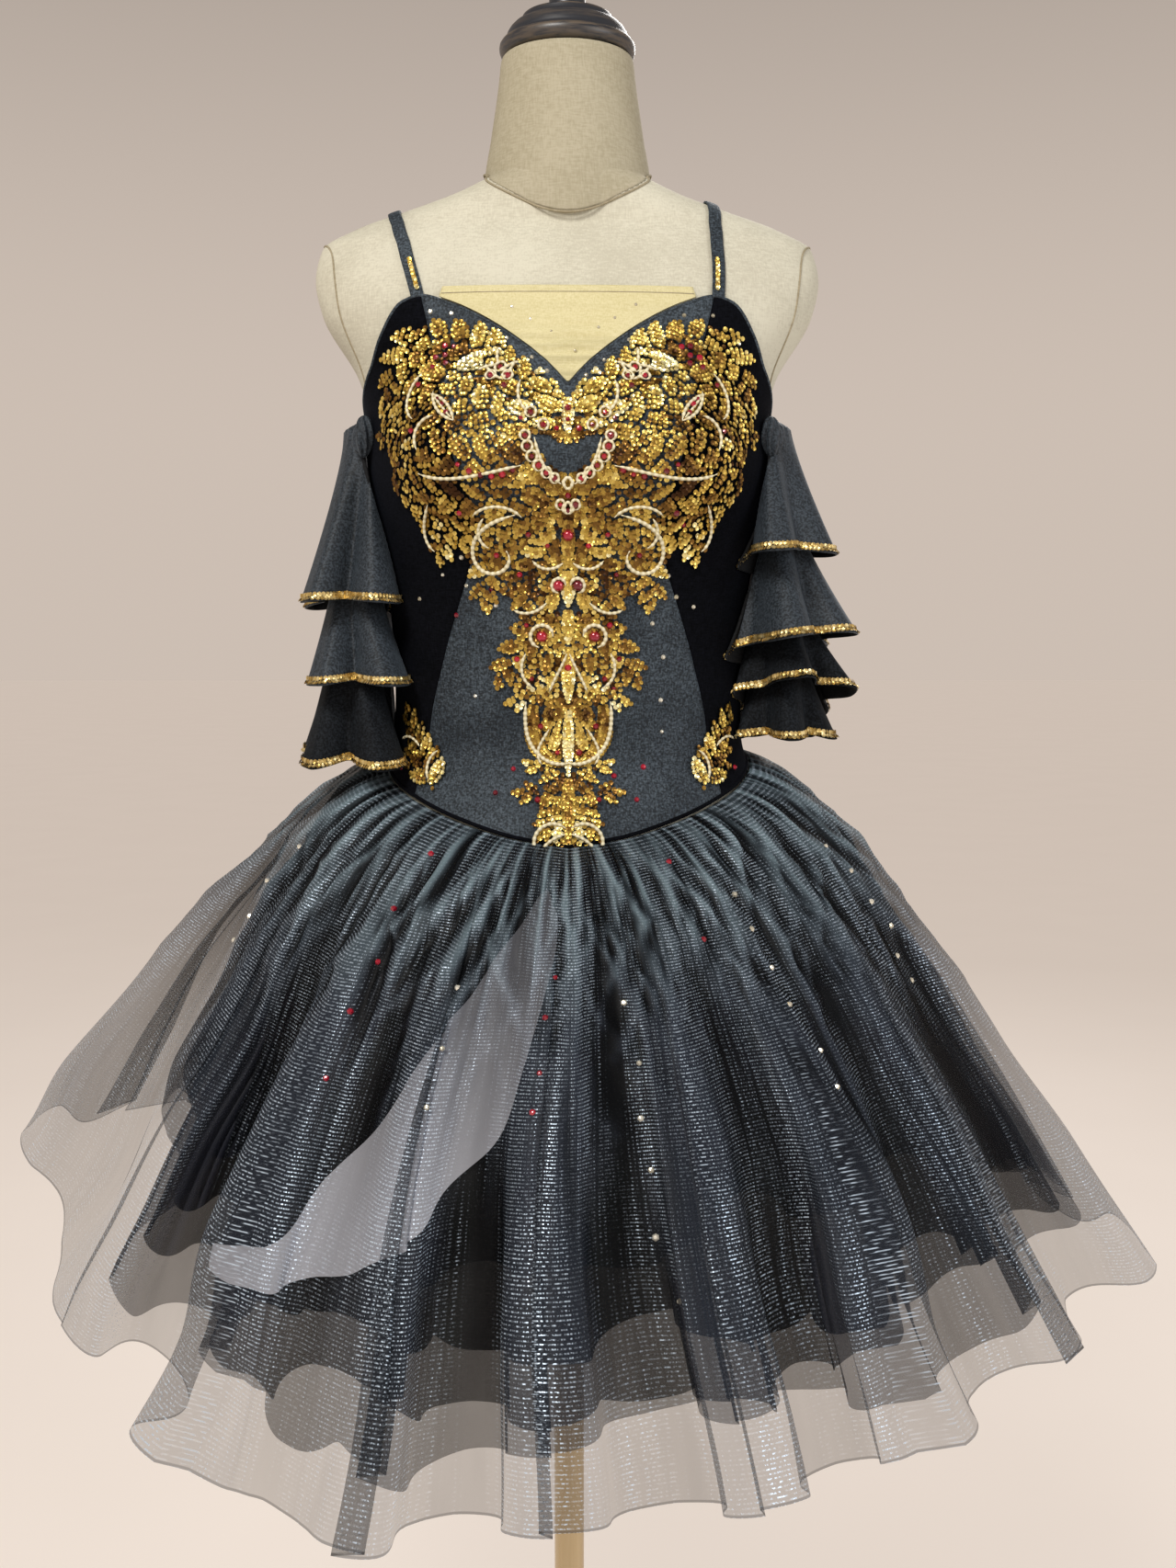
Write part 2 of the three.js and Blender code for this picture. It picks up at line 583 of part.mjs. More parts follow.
// A point of the skirt's envelope at a turn and a share of its full length.
function skirtPoint({ turn, ridge }, along, { envelope, inset, spread }) {
  const degrees = wrapped(THREE.MathUtils.radToDeg(turn));
  const topZ = waistSeam(degrees) - 1;
  const topRadius = formRadius(turn, topZ) + 18.5;
  const out = along ** FLARE_OUT;
  const valley = FLUTE_DEPTH * (1 - ridge) * along ** 1.3;
  const radius = mix(topRadius, hemRadius[envelope](degrees), out) - valley - inset - spread * along;
  return polar(turn, radius, mix(topZ, hemZ(degrees), along ** FLARE_DOWN));
}

const level = (p) => new THREE.Vector3(-p.x, -p.y, 0).normalize();

function addSkirt() {
  const stations = fluteStations();
  for (const layer of LAYERS) {
    const { name, reach } = layer;
    const shares = SKIRT_ROWS.filter((share) => share < reach - 0.08).concat(reach);
    const grid = shares.map((along) => stations.map((s) => skirtPoint(s, along, layer)));
    const finish = name === "skirt_net_overlay" ? "net" : "tulle";
    add(name, wall(grid, TULLE, true, level), finish);
  }
  const [first, last] = [PETAL[0].turn, PETAL.at(-1).turn].map(radians);
  const under = stations.filter(({ turn }) => turn > first - 0.01 && turn < last + 0.01);
  const petal = steps(PETAL_ROWS).map((down) =>
    under.map((station) => {
      const degrees = THREE.MathUtils.radToDeg(station.turn);
      const z = mix(curve(PETAL, "turn", "top")(degrees), curve(PETAL, "turn", "bottom")(degrees), down);
      const drop = (waistSeam(degrees) - 1 - z) / (waistSeam(degrees) - 1 - hemZ(degrees));
      return skirtPoint(station, drop ** (1 / FLARE_DOWN), PETAL_PLACE);
    }),
  );
  add("skirt_petal", wall(petal, TULLE, false, level), "pale");
}

addForm();
addStand();
addBodice();
addStraps();
addAppliques();
addSleeves();
addSkirt();

export default dress;
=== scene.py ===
"""The looks of a skating dress on a limbless dress form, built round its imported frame.

Shapes are worked out in millimetres in the frame's axes, with the dress's front towards -Y, and become metres
when a mesh is made. A "turn" is an angle in degrees round the form's axis, 0 at the front and positive
towards +X. "Along" is the share of the way down a skirt or a sleeve flounce.
"""

from __future__ import annotations

import json
import logging
import math
from collections.abc import Callable, Iterator, Sequence
from dataclasses import dataclass
from enum import Enum

import bpy
import numpy as np
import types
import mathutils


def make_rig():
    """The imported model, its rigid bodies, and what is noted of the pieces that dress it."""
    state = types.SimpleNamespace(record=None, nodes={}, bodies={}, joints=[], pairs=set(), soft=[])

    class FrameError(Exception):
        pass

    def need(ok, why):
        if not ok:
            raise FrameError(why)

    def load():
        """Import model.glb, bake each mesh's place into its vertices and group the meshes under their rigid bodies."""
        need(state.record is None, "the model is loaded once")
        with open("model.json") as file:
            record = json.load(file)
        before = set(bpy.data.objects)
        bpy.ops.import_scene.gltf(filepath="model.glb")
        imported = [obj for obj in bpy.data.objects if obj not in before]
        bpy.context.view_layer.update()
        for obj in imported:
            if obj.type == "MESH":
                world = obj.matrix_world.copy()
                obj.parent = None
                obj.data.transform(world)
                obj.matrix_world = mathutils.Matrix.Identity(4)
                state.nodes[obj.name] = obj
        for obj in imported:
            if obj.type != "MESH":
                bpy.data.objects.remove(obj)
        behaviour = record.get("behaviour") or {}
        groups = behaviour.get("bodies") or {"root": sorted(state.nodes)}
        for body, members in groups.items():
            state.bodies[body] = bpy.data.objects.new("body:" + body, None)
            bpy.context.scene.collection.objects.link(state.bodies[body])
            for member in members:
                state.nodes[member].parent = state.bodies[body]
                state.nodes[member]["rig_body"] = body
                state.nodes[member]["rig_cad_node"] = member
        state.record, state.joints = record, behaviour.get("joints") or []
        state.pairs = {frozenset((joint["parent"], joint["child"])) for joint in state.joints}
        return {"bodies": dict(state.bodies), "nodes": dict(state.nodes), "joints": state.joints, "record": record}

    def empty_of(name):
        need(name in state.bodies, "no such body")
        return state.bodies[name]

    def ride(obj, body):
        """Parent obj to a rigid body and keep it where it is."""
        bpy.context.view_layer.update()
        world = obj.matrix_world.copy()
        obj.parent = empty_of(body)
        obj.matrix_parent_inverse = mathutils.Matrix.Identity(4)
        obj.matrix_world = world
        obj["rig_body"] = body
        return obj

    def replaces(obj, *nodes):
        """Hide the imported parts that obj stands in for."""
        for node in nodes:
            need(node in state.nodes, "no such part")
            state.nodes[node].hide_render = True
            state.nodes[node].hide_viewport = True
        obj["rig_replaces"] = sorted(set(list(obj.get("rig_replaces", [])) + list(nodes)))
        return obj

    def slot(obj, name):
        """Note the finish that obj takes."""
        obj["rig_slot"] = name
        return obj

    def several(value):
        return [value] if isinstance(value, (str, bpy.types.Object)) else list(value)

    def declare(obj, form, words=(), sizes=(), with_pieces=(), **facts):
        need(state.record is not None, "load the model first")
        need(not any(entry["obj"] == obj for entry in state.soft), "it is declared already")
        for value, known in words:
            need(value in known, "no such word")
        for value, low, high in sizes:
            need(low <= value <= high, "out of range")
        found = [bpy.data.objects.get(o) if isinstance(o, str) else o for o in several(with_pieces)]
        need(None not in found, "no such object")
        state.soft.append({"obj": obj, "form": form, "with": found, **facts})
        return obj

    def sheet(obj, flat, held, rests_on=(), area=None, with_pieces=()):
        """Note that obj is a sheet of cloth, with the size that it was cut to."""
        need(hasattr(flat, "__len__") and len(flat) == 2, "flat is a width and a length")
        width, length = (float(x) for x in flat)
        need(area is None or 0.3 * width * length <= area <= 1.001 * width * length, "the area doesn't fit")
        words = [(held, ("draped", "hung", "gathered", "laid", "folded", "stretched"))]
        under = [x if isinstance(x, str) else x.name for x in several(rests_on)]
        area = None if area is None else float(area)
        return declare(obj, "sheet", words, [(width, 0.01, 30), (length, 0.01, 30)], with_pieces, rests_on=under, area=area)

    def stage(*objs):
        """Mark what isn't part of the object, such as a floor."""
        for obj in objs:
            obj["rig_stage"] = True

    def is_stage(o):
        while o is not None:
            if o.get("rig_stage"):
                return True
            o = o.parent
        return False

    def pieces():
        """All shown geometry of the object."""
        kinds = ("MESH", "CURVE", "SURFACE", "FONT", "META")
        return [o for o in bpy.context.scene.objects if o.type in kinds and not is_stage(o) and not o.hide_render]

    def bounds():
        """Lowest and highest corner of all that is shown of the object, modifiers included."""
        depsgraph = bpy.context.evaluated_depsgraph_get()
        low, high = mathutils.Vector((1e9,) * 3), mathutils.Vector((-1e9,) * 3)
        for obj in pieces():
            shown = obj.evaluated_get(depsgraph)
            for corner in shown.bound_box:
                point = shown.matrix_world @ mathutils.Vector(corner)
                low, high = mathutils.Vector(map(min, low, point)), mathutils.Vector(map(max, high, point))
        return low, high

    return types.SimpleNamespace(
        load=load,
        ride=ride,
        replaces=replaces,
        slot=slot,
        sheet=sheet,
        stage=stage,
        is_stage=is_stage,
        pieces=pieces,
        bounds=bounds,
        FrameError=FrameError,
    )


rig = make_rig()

MM = 0.001
SIZE_FILE = "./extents.json"
LOG = logging.getLogger("skating_dress")

Array = np.ndarray
Triple = tuple[float, float, float]
Edge = Callable[[Array], Array]


# ---- curves, tables and the form's surface


class Curve:
    """A smooth curve through points that never overshoots them (monotone cubic)."""

    def __init__(self, x: Sequence[float], y: Sequence[float]) -> None:
        """Works out the slope at each point.

        Args:
            x: the points' places, rising.
            y: the points' values.
        """
        self.x = np.asarray(x, float)
        self.y = np.asarray(y, float)
        slope = np.diff(self.y) / np.diff(self.x)
        before, after = slope[:-1], slope[1:]
        same = before * after > 0
        total = np.where(same, before + after, 1.0)
        inner = np.where(same, 2 * before * after / total, 0.0)
        self.slope = np.concatenate(([slope[0]], inner, [slope[-1]]))

    def __call__(self, at: Array | float) -> Array:
        """The curve's value at each place.

        Args:
            at: places, held at the ends.

        Returns:
            The values.
        """
        v = np.clip(at, self.x[0], self.x[-1])
        i = np.clip(np.searchsorted(self.x, v, side="right") - 1, 0, len(self.x) - 2)
        h = self.x[i + 1] - self.x[i]
        t = (v - self.x[i]) / h
        rise = self.y[i] + (self.y[i + 1] - self.y[i]) * t * t * (3 - 2 * t)
        return rise + h * (self.slope[i] * t * (1 - t) ** 2 - self.slope[i + 1] * t * t * (1 - t))


class Table:
    """Rows of numbers under named columns."""

    def __init__(self, columns: str, *rows: tuple[float, ...]) -> None:
        """Keeps the rows.

        Args:
            columns: the columns' names, with spaces between.
            rows: one tuple for each row.
        """
        self.names = columns.split()
        self.rows = rows

    def __getitem__(self, name: str) -> list[float]:
        """One column's values."""
        return [row[self.names.index(name)] for row in self.rows]

    def __iter__(self) -> Iterator[tuple[float, ...]]:
        """The rows in order."""
        return iter(self.rows)

    def curve(self, at: str, of: str) -> Curve:
        """The curve of one column over another."""
        return Curve(self[at], self[of])


def unit(vectors: Array) -> Array:
    """The vectors at length one."""
    return vectors / np.maximum(np.linalg.norm(vectors, axis=-1, keepdims=True), 1e-9)


def mix(a: Array | float, b: Array | float, share: Array | float) -> Array:
    """The value a share of the way from a to b."""
    return a + (b - a) * share


def stacked(*parts: Array) -> Array:
    """The parts side by side, along a new last axis."""
    return np.stack(np.broadcast_arrays(*parts), axis=-1)


def circle(count: int) -> Array:
    """Angles in radians, evenly round a circle."""
    return np.linspace(0, 2 * math.pi, count, endpoint=False)


def polar(turn: Array, radius: Array, z: Array) -> Array:
    """Points at turns in radians, radii and heights."""
    return stacked(radius * np.sin(turn), -radius * np.cos(turn), z)


def smooth_noise(x: Array, seed: int, period: int = 0) -> Array:
    """Smooth noise from -1 to 1 over a line.

    Args:
        x: places; the noise has one random value at each whole number.
        seed: which noise it is.
        period: after how many whole numbers it repeats, or 0 for never.

    Returns:
        The noise at each place.
    """
    values = np.random.default_rng(seed).uniform(-1, 1, 4096)
    low = np.floor(x).astype(int)
    t = x - low
    t = t * t * (3 - 2 * t)
    period = period or len(values)
    return values[low % period] * (1 - t) + values[(low + 1) % period] * t


def cloth_noise(x: Array, y: Array, seed: int, period: int = 128) -> Array:
    """Smooth noise from -1 to 1 over a plane.

    Args:
        x: places across; the noise has one random value at each pair of whole numbers.
        y: places down.
        seed: which noise it is.
        period: after how many whole numbers it repeats across.

    Returns:
        The noise at each place.
    """
    values = np.random.default_rng(seed).uniform(-1, 1, (period, 64))
    i, j = np.floor(x).astype(int), np.floor(y).astype(int)
    t, u = x - i, y - j
    t, u = t * t * (3 - 2 * t), u * u * (3 - 2 * u)
    i, k, j, m = i % period, (i + 1) % period, j % 64, (j + 1) % 64
    return mix(mix(values[i, j], values[k, j], t), mix(values[i, m], values[k, m], t), u)


@dataclass(frozen=True)
class BodyShape:
    """The dress form's outer surface."""

    sections: Table = Table(
        "z half front back square", (800, 156, 100, 108, 2.2), (835, 168, 112, 118, 2.2), (900, 165, 113, 116, 2.2),
        (960, 152, 107, 102, 2.2), (1000, 139, 98, 89, 2.2), (1035, 130, 92, 82, 2.2), (1080, 129, 95, 83, 2.2),
        (1130, 132, 99, 88, 2.25), (1180, 139, 104, 93, 2.3), (1240, 147, 109, 98, 2.4), (1270, 148, 106, 99, 2.45),
        (1300, 156, 99, 98, 2.5), (1350, 184, 84, 90, 2.5), (1375, 189, 74, 82, 2.4), (1398, 184, 61, 70, 2.3),
        (1412, 160, 55, 64, 2.2), (1424, 125, 55, 61, 2.1), (1436, 90, 56, 58, 2), (1448, 62, 56, 56, 2),
    )
    bust_turn: float = 31
    bust_z: float = 1238
    bust_height: float = 22
    bust_turn_spread: float = 25
    bust_z_spread: float = 52
    passes: int = 6

    def radius(self, turn: Array, z: Array) -> Array:
        """The surface's radius.

        Args:
            turn: turns in radians.
            z: heights.

        Returns:
            The radii.
        """
        half, front, back, square = (
            self.sections.curve("z", name)(z) for name in ("half", "front", "back", "square")
        )
        depth = np.where(np.cos(turn) > 0, front, back)
        across = np.abs(np.sin(turn) / half) ** square + np.abs(np.cos(turn) / depth) ** square
        oval = across ** (-1 / square)
        down = ((z - self.bust_z) / self.bust_z_spread) ** 2
        for side in (-1, 1):
            away = (turn - side * math.radians(self.bust_turn)) / math.radians(self.bust_turn_spread)
            oval = oval + self.bust_height * np.exp(-(away**2) - down)
        return oval

    def normal(self, turn: Array, z: Array) -> Array:
        """The way straight out of the surface.

        Args:
            turn: degrees round the axis.
            z: heights.

        Returns:
            Unit vectors.
        """

        def on(t: Array, h: Array) -> Array:
            """A point on the surface."""
            return polar(np.radians(t), self.radius(np.radians(t), h), h)

        round_it = on(turn + 0.3, z) - on(turn - 0.3, z)
        up = on(turn, z + 0.8) - on(turn, z - 0.8)
        return unit(np.cross(round_it, up))

    def point(self, turn: Array, z: Array, off: Array | float = 0.0) -> Array:
        """Points over the surface.

        Args:
            turn: degrees round the axis.
            z: heights.
            off: how far out of the surface.

        Returns:
            The points.
        """
        turn, z = np.broadcast_arrays(np.asarray(turn, float), np.asarray(z, float))
        base = polar(np.radians(turn), self.radius(np.radians(turn), z), z)
        return base + self.normal(turn, z) * np.asarray(off)[..., None]

    def away(self, points: Array) -> tuple[Array, Array]:
        """How far points lie off the surface.

        Args:
            points: any points.

        Returns:
            Their distances outside the surface, and the ways out of it.
        """

        def level(q: Array) -> Array:
            """How far points lie out from the surface, measured level."""
            return np.hypot(q[..., 0], q[..., 1]) - self.radius(np.arctan2(q[..., 0], -q[..., 1]), q[..., 2])

        step = 0.5
        steps = np.eye(3) * step
        out = np.stack([level(points + s) - level(points - s) for s in steps], axis=-1) / (2 * step)
        steepness = np.linalg.norm(out, axis=-1)
        return level(points) / steepness, out / steepness[..., None]

    def kept_clear(self, points: Array, clearance: Array | float) -> Array:
        """Keeps points clear of the surface.

        Args:
            points: any points.
            clearance: the least distance.

        Returns:
            The points, moved out where they lay nearer.
        """
        moved = points.copy()
        for _ in range(self.passes):
            distance, out = self.away(moved)
            moved += out * np.maximum(clearance - distance, 0)[..., None]
        return moved

    def laid(self, points: Array, distance: Array | float) -> Array:
        """Lays points at a distance off the surface.

        Args:
            points: any points.
            distance: how far off they should lie.

        Returns:
            The points, moved straight in or out.
        """
        moved = points.copy()
        for _ in range(self.passes):
            off, out = self.away(moved)
            moved += out * (distance - off)[..., None]
        return moved


BODY = BodyShape()


# ---- meshes


@dataclass
class Surface:
    """Points, faces, and where each point lies on the flat cloth."""

    points: Array
    faces: list[Array]
    cloth: Array | None = None
    shade: Array | None = None
    inner_faces: int = 0

    def area(self) -> float:
        """The area of one side of the cloth.

        Returns:
            Square metres.
        """
        total = 0.0
        for faces in self.faces[1:2] if self.inner_faces else self.faces:
            corner = self.points[faces]
            for a, b in ((1, 2), (2, 3)) if faces.shape[1] == 4 else ((1, 2),):
                cross = np.cross(corner[:, a] - corner[:, 0], corner[:, b] - corner[:, 0])
                total += float(np.linalg.norm(cross, axis=-1).sum()) / 2
        return round(total * MM * MM, 4)

    def joined(self, other: Surface) -> Surface:
        """This surface and another as one, with their shades."""
        points = np.concatenate((self.points, other.points))
        faces = self.faces + [f + len(self.points) for f in other.faces]
        return Surface(points, faces, None, np.concatenate((self.shade, other.shade)))


def grid_faces(rows: int, columns: int, closed: bool = False, start: int = 0) -> Array:
    """Four-cornered faces over a grid of points whose rows run down and whose columns run towards +X.

    Args:
        rows: how many rows of points.
        columns: how many columns of points.
        closed: whether the last column joins the first.
        start: the first point's number.

    Returns:
        The faces' corners, facing out.
    """
    j, i = np.meshgrid(np.arange(rows - 1), np.arange(columns if closed else columns - 1), indexing="ij")
    k = (i + 1) % columns
    corners = [j * columns + i, (j + 1) * columns + i, (j + 1) * columns + k, j * columns + k]
    return np.stack(corners, axis=-1).reshape(-1, 4) + start


def grid_normals(grid: Array, closed: bool = False) -> Array:
    """The way out at each point of a grid.

    Args:
        grid: rows of points that run down.
        closed: whether the rows are rings.

    Returns:
        Unit vectors.
    """
    if closed:
        across = np.roll(grid, -1, axis=1) - np.roll(grid, 1, axis=1)
    else:
        across = np.gradient(grid, axis=1)
    return unit(np.cross(np.gradient(grid, axis=0), across))


def sheet_surface(grid: Array, closed: bool = False, cloth: Array | None = None) -> Surface:
    """One thickness of cloth over a grid."""
    rows, columns = grid.shape[:2]
    flat = None if cloth is None else cloth.reshape(-1, 2)
    return Surface(grid.reshape(-1, 3), [grid_faces(rows, columns, closed)], flat)


def shell_surface(grid: Array, thickness: float, closed: bool = False, cloth: Array | None = None) -> Surface:
    """A wall of cloth.

    Args:
        grid: the outer face, with rows that run down.
        thickness: the cloth's thickness.
        closed: whether the rows are rings.
        cloth: each point's place on the flat cloth.

    Returns:
        The wall, with its edges closed.
    """
    rows, columns = grid.shape[:2]
    inner = grid - grid_normals(grid, closed) * thickness
    count = rows * columns
    outside = grid_faces(rows, columns, closed)
    inside = outside[:, ::-1] + count
    number = np.arange(count).reshape(rows, columns)
    rims = []
    edges = [number[0][::-1], number[-1]]
    if not closed:
        edges += [number[:, 0], number[::-1, -1]]
    for edge in edges:
        ahead = np.roll(edge, -1) if closed else edge[1:]
        here = edge if closed else edge[:-1]
        rims.append(stacked(here, here + count, ahead + count, ahead))
    flat = None if cloth is None else np.tile(cloth.reshape(-1, 2), (2, 1))
    points = np.concatenate((grid.reshape(-1, 3), inner.reshape(-1, 3)))
    return Surface(points, [inside, outside, *rims], flat, inner_faces=len(inside))


def lathe_surface(profile: Array, sides: int, centre: tuple[float, float] = (0, 0)) -> Surface:
    """A turned solid.

    Args:
        profile: heights and radii from the bottom to the top, in two columns.
        sides: how many points go round.
        centre: the axis's place.

    Returns:
        The solid's surface with closed ends.
    """
    turn = circle(sides)
    z, radius = profile[::-1, :1], profile[::-1, 1:]
    grid = polar(turn[None, :], radius, z) + np.array([*centre, 0])
    return capped(grid)


def capped(grid: Array) -> Surface:
    """A closed solid through rings.

    Args:
        grid: rings of points that run from the top down.

    Returns:
        The solid.
    """
    rows, sides = grid.shape[:2]
    points = np.concatenate((grid.reshape(-1, 3), [grid[0].mean(0), grid[-1].mean(0)]))
    here = np.arange(sides)
    ahead = (here + 1) % sides
    last = (rows - 1) * sides
    top = stacked(np.full(sides, rows * sides), here, ahead)
    foot = stacked(np.full(sides, rows * sides + 1), last + ahead, last + here)
    return Surface(points, [grid_faces(rows, sides, True), top, foot])


def tube_surface(path: Array, radius: Array | float, sides: int = 6) -> Surface:
    """A cord along a path.

    Args:
        path: the middle line's points.
        radius: the cord's radius, or one for each point.
        sides: how many points go round.

    Returns:
        The cord with closed ends.
    """
    along = unit(np.gradient(path, axis=0))
    out = BODY.away(path)[1]
    across = unit(np.cross(along, out))
    out = np.cross(across, along)
    angle = circle(sides)[None, :, None]
    size = np.broadcast_to(np.asarray(radius, float), len(path))[:, None, None]
    ring = np.cos(angle) * across[:, None] + np.sin(angle) * out[:, None]
    return capped(path[:, None] + ring * size)


def scatter(shape: Array, faces: Array, places: Array, normals: Array, size: Array, spin: Array,
            shade: Array) -> Surface:
    """Many copies of one small shape as one surface.

    Args:
        shape: the small shape's points at size one, facing +Z.
        faces: its faces.
        places: where each copy goes.
        normals: the way each copy faces.
        size: each copy's size.
        spin: each copy's turn about its own axis, in radians.
        shade: each copy's shade.

    Returns:
        All the copies.
    """
    side = unit(np.cross(normals, np.array([0.13, 0.29, 0.95])))
    front = np.cross(normals, side)
    c, s = np.cos(spin)[:, None], np.sin(spin)[:, None]
    u, v = side * c + front * s, front * c - side * s
    x, y, z = (shape[:, k][None, :, None] for k in range(3))
    local = x * u[:, None] + y * v[:, None] + z * normals[:, None]
    points = places[:, None] + local * size[:, None, None]
    numbers = faces[None] + (np.arange(len(places)) * len(shape))[:, None, None]
    shades = np.repeat(shade, len(shape))
    return Surface(points.reshape(-1, 3), [numbers.reshape(-1, faces.shape[1])], None, shades)


def sequin_shape(sides: int = 7) -> tuple[Array, Array]:
    """A dished disc of radius one.

    Args:
        sides: how many points go round.

    Returns:
        Its points and its faces.
    """
    angle = circle(sides)
    rim = stacked(np.cos(angle), np.sin(angle), np.full(sides, 0.16))
    points = np.concatenate((rim, [[0, 0, -0.12]]))
    here = np.arange(sides)
    return points, stacked(here, (here + 1) % sides, np.full(sides, sides))


def stone_shape(sides: int = 6) -> tuple[Array, Array]:
    """A faceted stone of radius one with a flat table.

    Args:
        sides: how many points go round.

    Returns:
        Its points and its faces.
    """
    angle = circle(sides)
    low = stacked(np.cos(angle), np.sin(angle), np.zeros(sides))
    high = low * 0.55 + np.array([0, 0, 0.62])
    points = np.concatenate((low, high, [[0, 0, 0.66], [0, 0, -0.1]]))
    here = np.arange(sides)
    ahead = (here + 1) % sides
    top, foot = np.full(sides, 2 * sides), np.full(sides, 2 * sides + 1)
    faces = [(here, ahead, ahead + sides), (here, ahead + sides, here + sides), (here + sides, ahead + sides, top),
             (ahead, here, foot)]
    return points, np.concatenate([np.stack(f, axis=-1) for f in faces])


def linked(name: str, data: bpy.types.ID) -> bpy.types.Object:
    """A new object in the scene."""
    made = bpy.data.objects.new(name, data)
    bpy.context.scene.collection.objects.link(made)
    return made


# ---- finishes


class Slot(Enum):
    """The record's material slots."""

    FORM = "form_linen"
    CAP = "cap_ebony"
    STAND = "stand_brass"
    JERSEY = "bodice_jersey"
    VELVET = "bodice_velvet"
    MESH = "insert_mesh"
    CREPE = "sleeve_crepe"
    BRAID = "sleeve_braid"
    SEQUINS = "applique_sequins"
    CORD = "applique_cord"
    RED = "stone_red"
    PALE = "stone_pale"
    NET = "skirt_net"
    TULLE = "skirt_tulle"
    PETAL = "skirt_petal_sheer"


Socket = bpy.types.NodeSocket
Material = bpy.types.Material
Colour = Triple


class Graph:
    """One material's nodes."""

    def __init__(self, name: str, **settings: float | Colour) -> None:
        """Makes the material.

        Args:
            name: the material's name.
            settings: values for the shader's sockets, with underscores for spaces.
        """
        self.material = bpy.data.materials.new(name)
        self.material.use_nodes = True
        self.tree = self.material.node_tree
        self.shader = self.tree.nodes["Principled BSDF"]
        for key, value in settings.items():
            self.set(key.replace("_", " "), value)

    def set(self, socket: str, value: Socket | float | Colour) -> None:
        """Gives one of the shader's sockets a value or a link."""
        self._give(self.shader.inputs[socket], value)

    def _give(self, socket: Socket, value: Socket | float | Colour) -> None:
        """Links or sets one socket.

        Args:
            socket: the socket.
            value: a link, a colour or a number.
        """
        if isinstance(value, bpy.types.NodeSocket):
            self.tree.links.new(value, socket)
        elif isinstance(value, tuple) and socket.type == "RGBA":
            socket.default_value = (*value, 1)
        else:
            socket.default_value = value

    def node(self, kind: str, inputs: dict[str | int, Socket | float | Colour], **settings: str) -> bpy.types.Node:
        """Adds a node.

        Args:
            kind: its type, without the usual prefix.
            inputs: what its sockets get.
            settings: its other settings.

        Returns:
            The node.
        """
        made = self.tree.nodes.new("ShaderNode" + kind)
        for key, value in settings.items():
            setattr(made, key, value)
        for key, value in inputs.items():
            self._give(made.inputs[key], value)
        return made

    def place(self, stretch: Triple = (1, 1, 1), from_cloth: bool = False) -> Socket:
        """The point on the object, or on the flat cloth, stretched along its axes."""
        where = self.node("TexCoord", {}).outputs["UV" if from_cloth else "Object"]
        return self.node("Mapping", {"Vector": where, "Scale": stretch}).outputs[0]

    def noise(self, where: Socket, scale: float, detail: float = 2.0, roughness: float = 0.5) -> Socket:
        """Soft noise from 0 to 1."""
        inputs = {"Vector": where, "Scale": scale, "Detail": detail, "Roughness": roughness}
        return self.node("TexNoise", inputs).outputs[0]

    def math(self, operation: str, a: Socket | float, b: Socket | float = 0.0) -> Socket:
        """One sum."""
        return self.node("Math", {0: a, 1: b}, operation=operation).outputs[0]

    def ramp(self, share: Socket, *stops: tuple[float, Colour]) -> Socket:
        """A colour for each share.

        Args:
            share: the place between the stops.
            stops: places with their colours.

        Returns:
            The colour.
        """
        made = self.node("ValToRGB", {"Fac": share})
        elements = made.color_ramp.elements
        while len(elements) < len(stops):
            elements.new(0.5)
        for element, (at, colour) in zip(elements, stops):
            element.position = at
            element.color = (*colour, 1)
        return made.outputs[0]

    def blend(self, share: Socket, first: Socket, second: Colour) -> Socket:
        """The colour that is a share of the way from the first to the second."""
        return self.node("Mix", {0: share, 6: first, 7: second}, data_type="RGBA").outputs[2]

    def step(self, value: Socket, low: float, high: float, start: float = 0.0, end: float = 1.0) -> Socket:
        """The value's share between low and high, as start to end, smoothed."""
        inputs = {"Value": value, "From Min": low, "From Max": high, "To Min": start, "To Max": end}
        return self.node("MapRange", inputs, interpolation_type="SMOOTHSTEP").outputs[0]

    def bump(self, height: Socket, strength: float, distance: float) -> None:
        """Relief from a height."""
        made = self.node("Bump", {"Height": height, "Strength": strength, "Distance": distance})
        self.set("Normal", made.outputs[0])


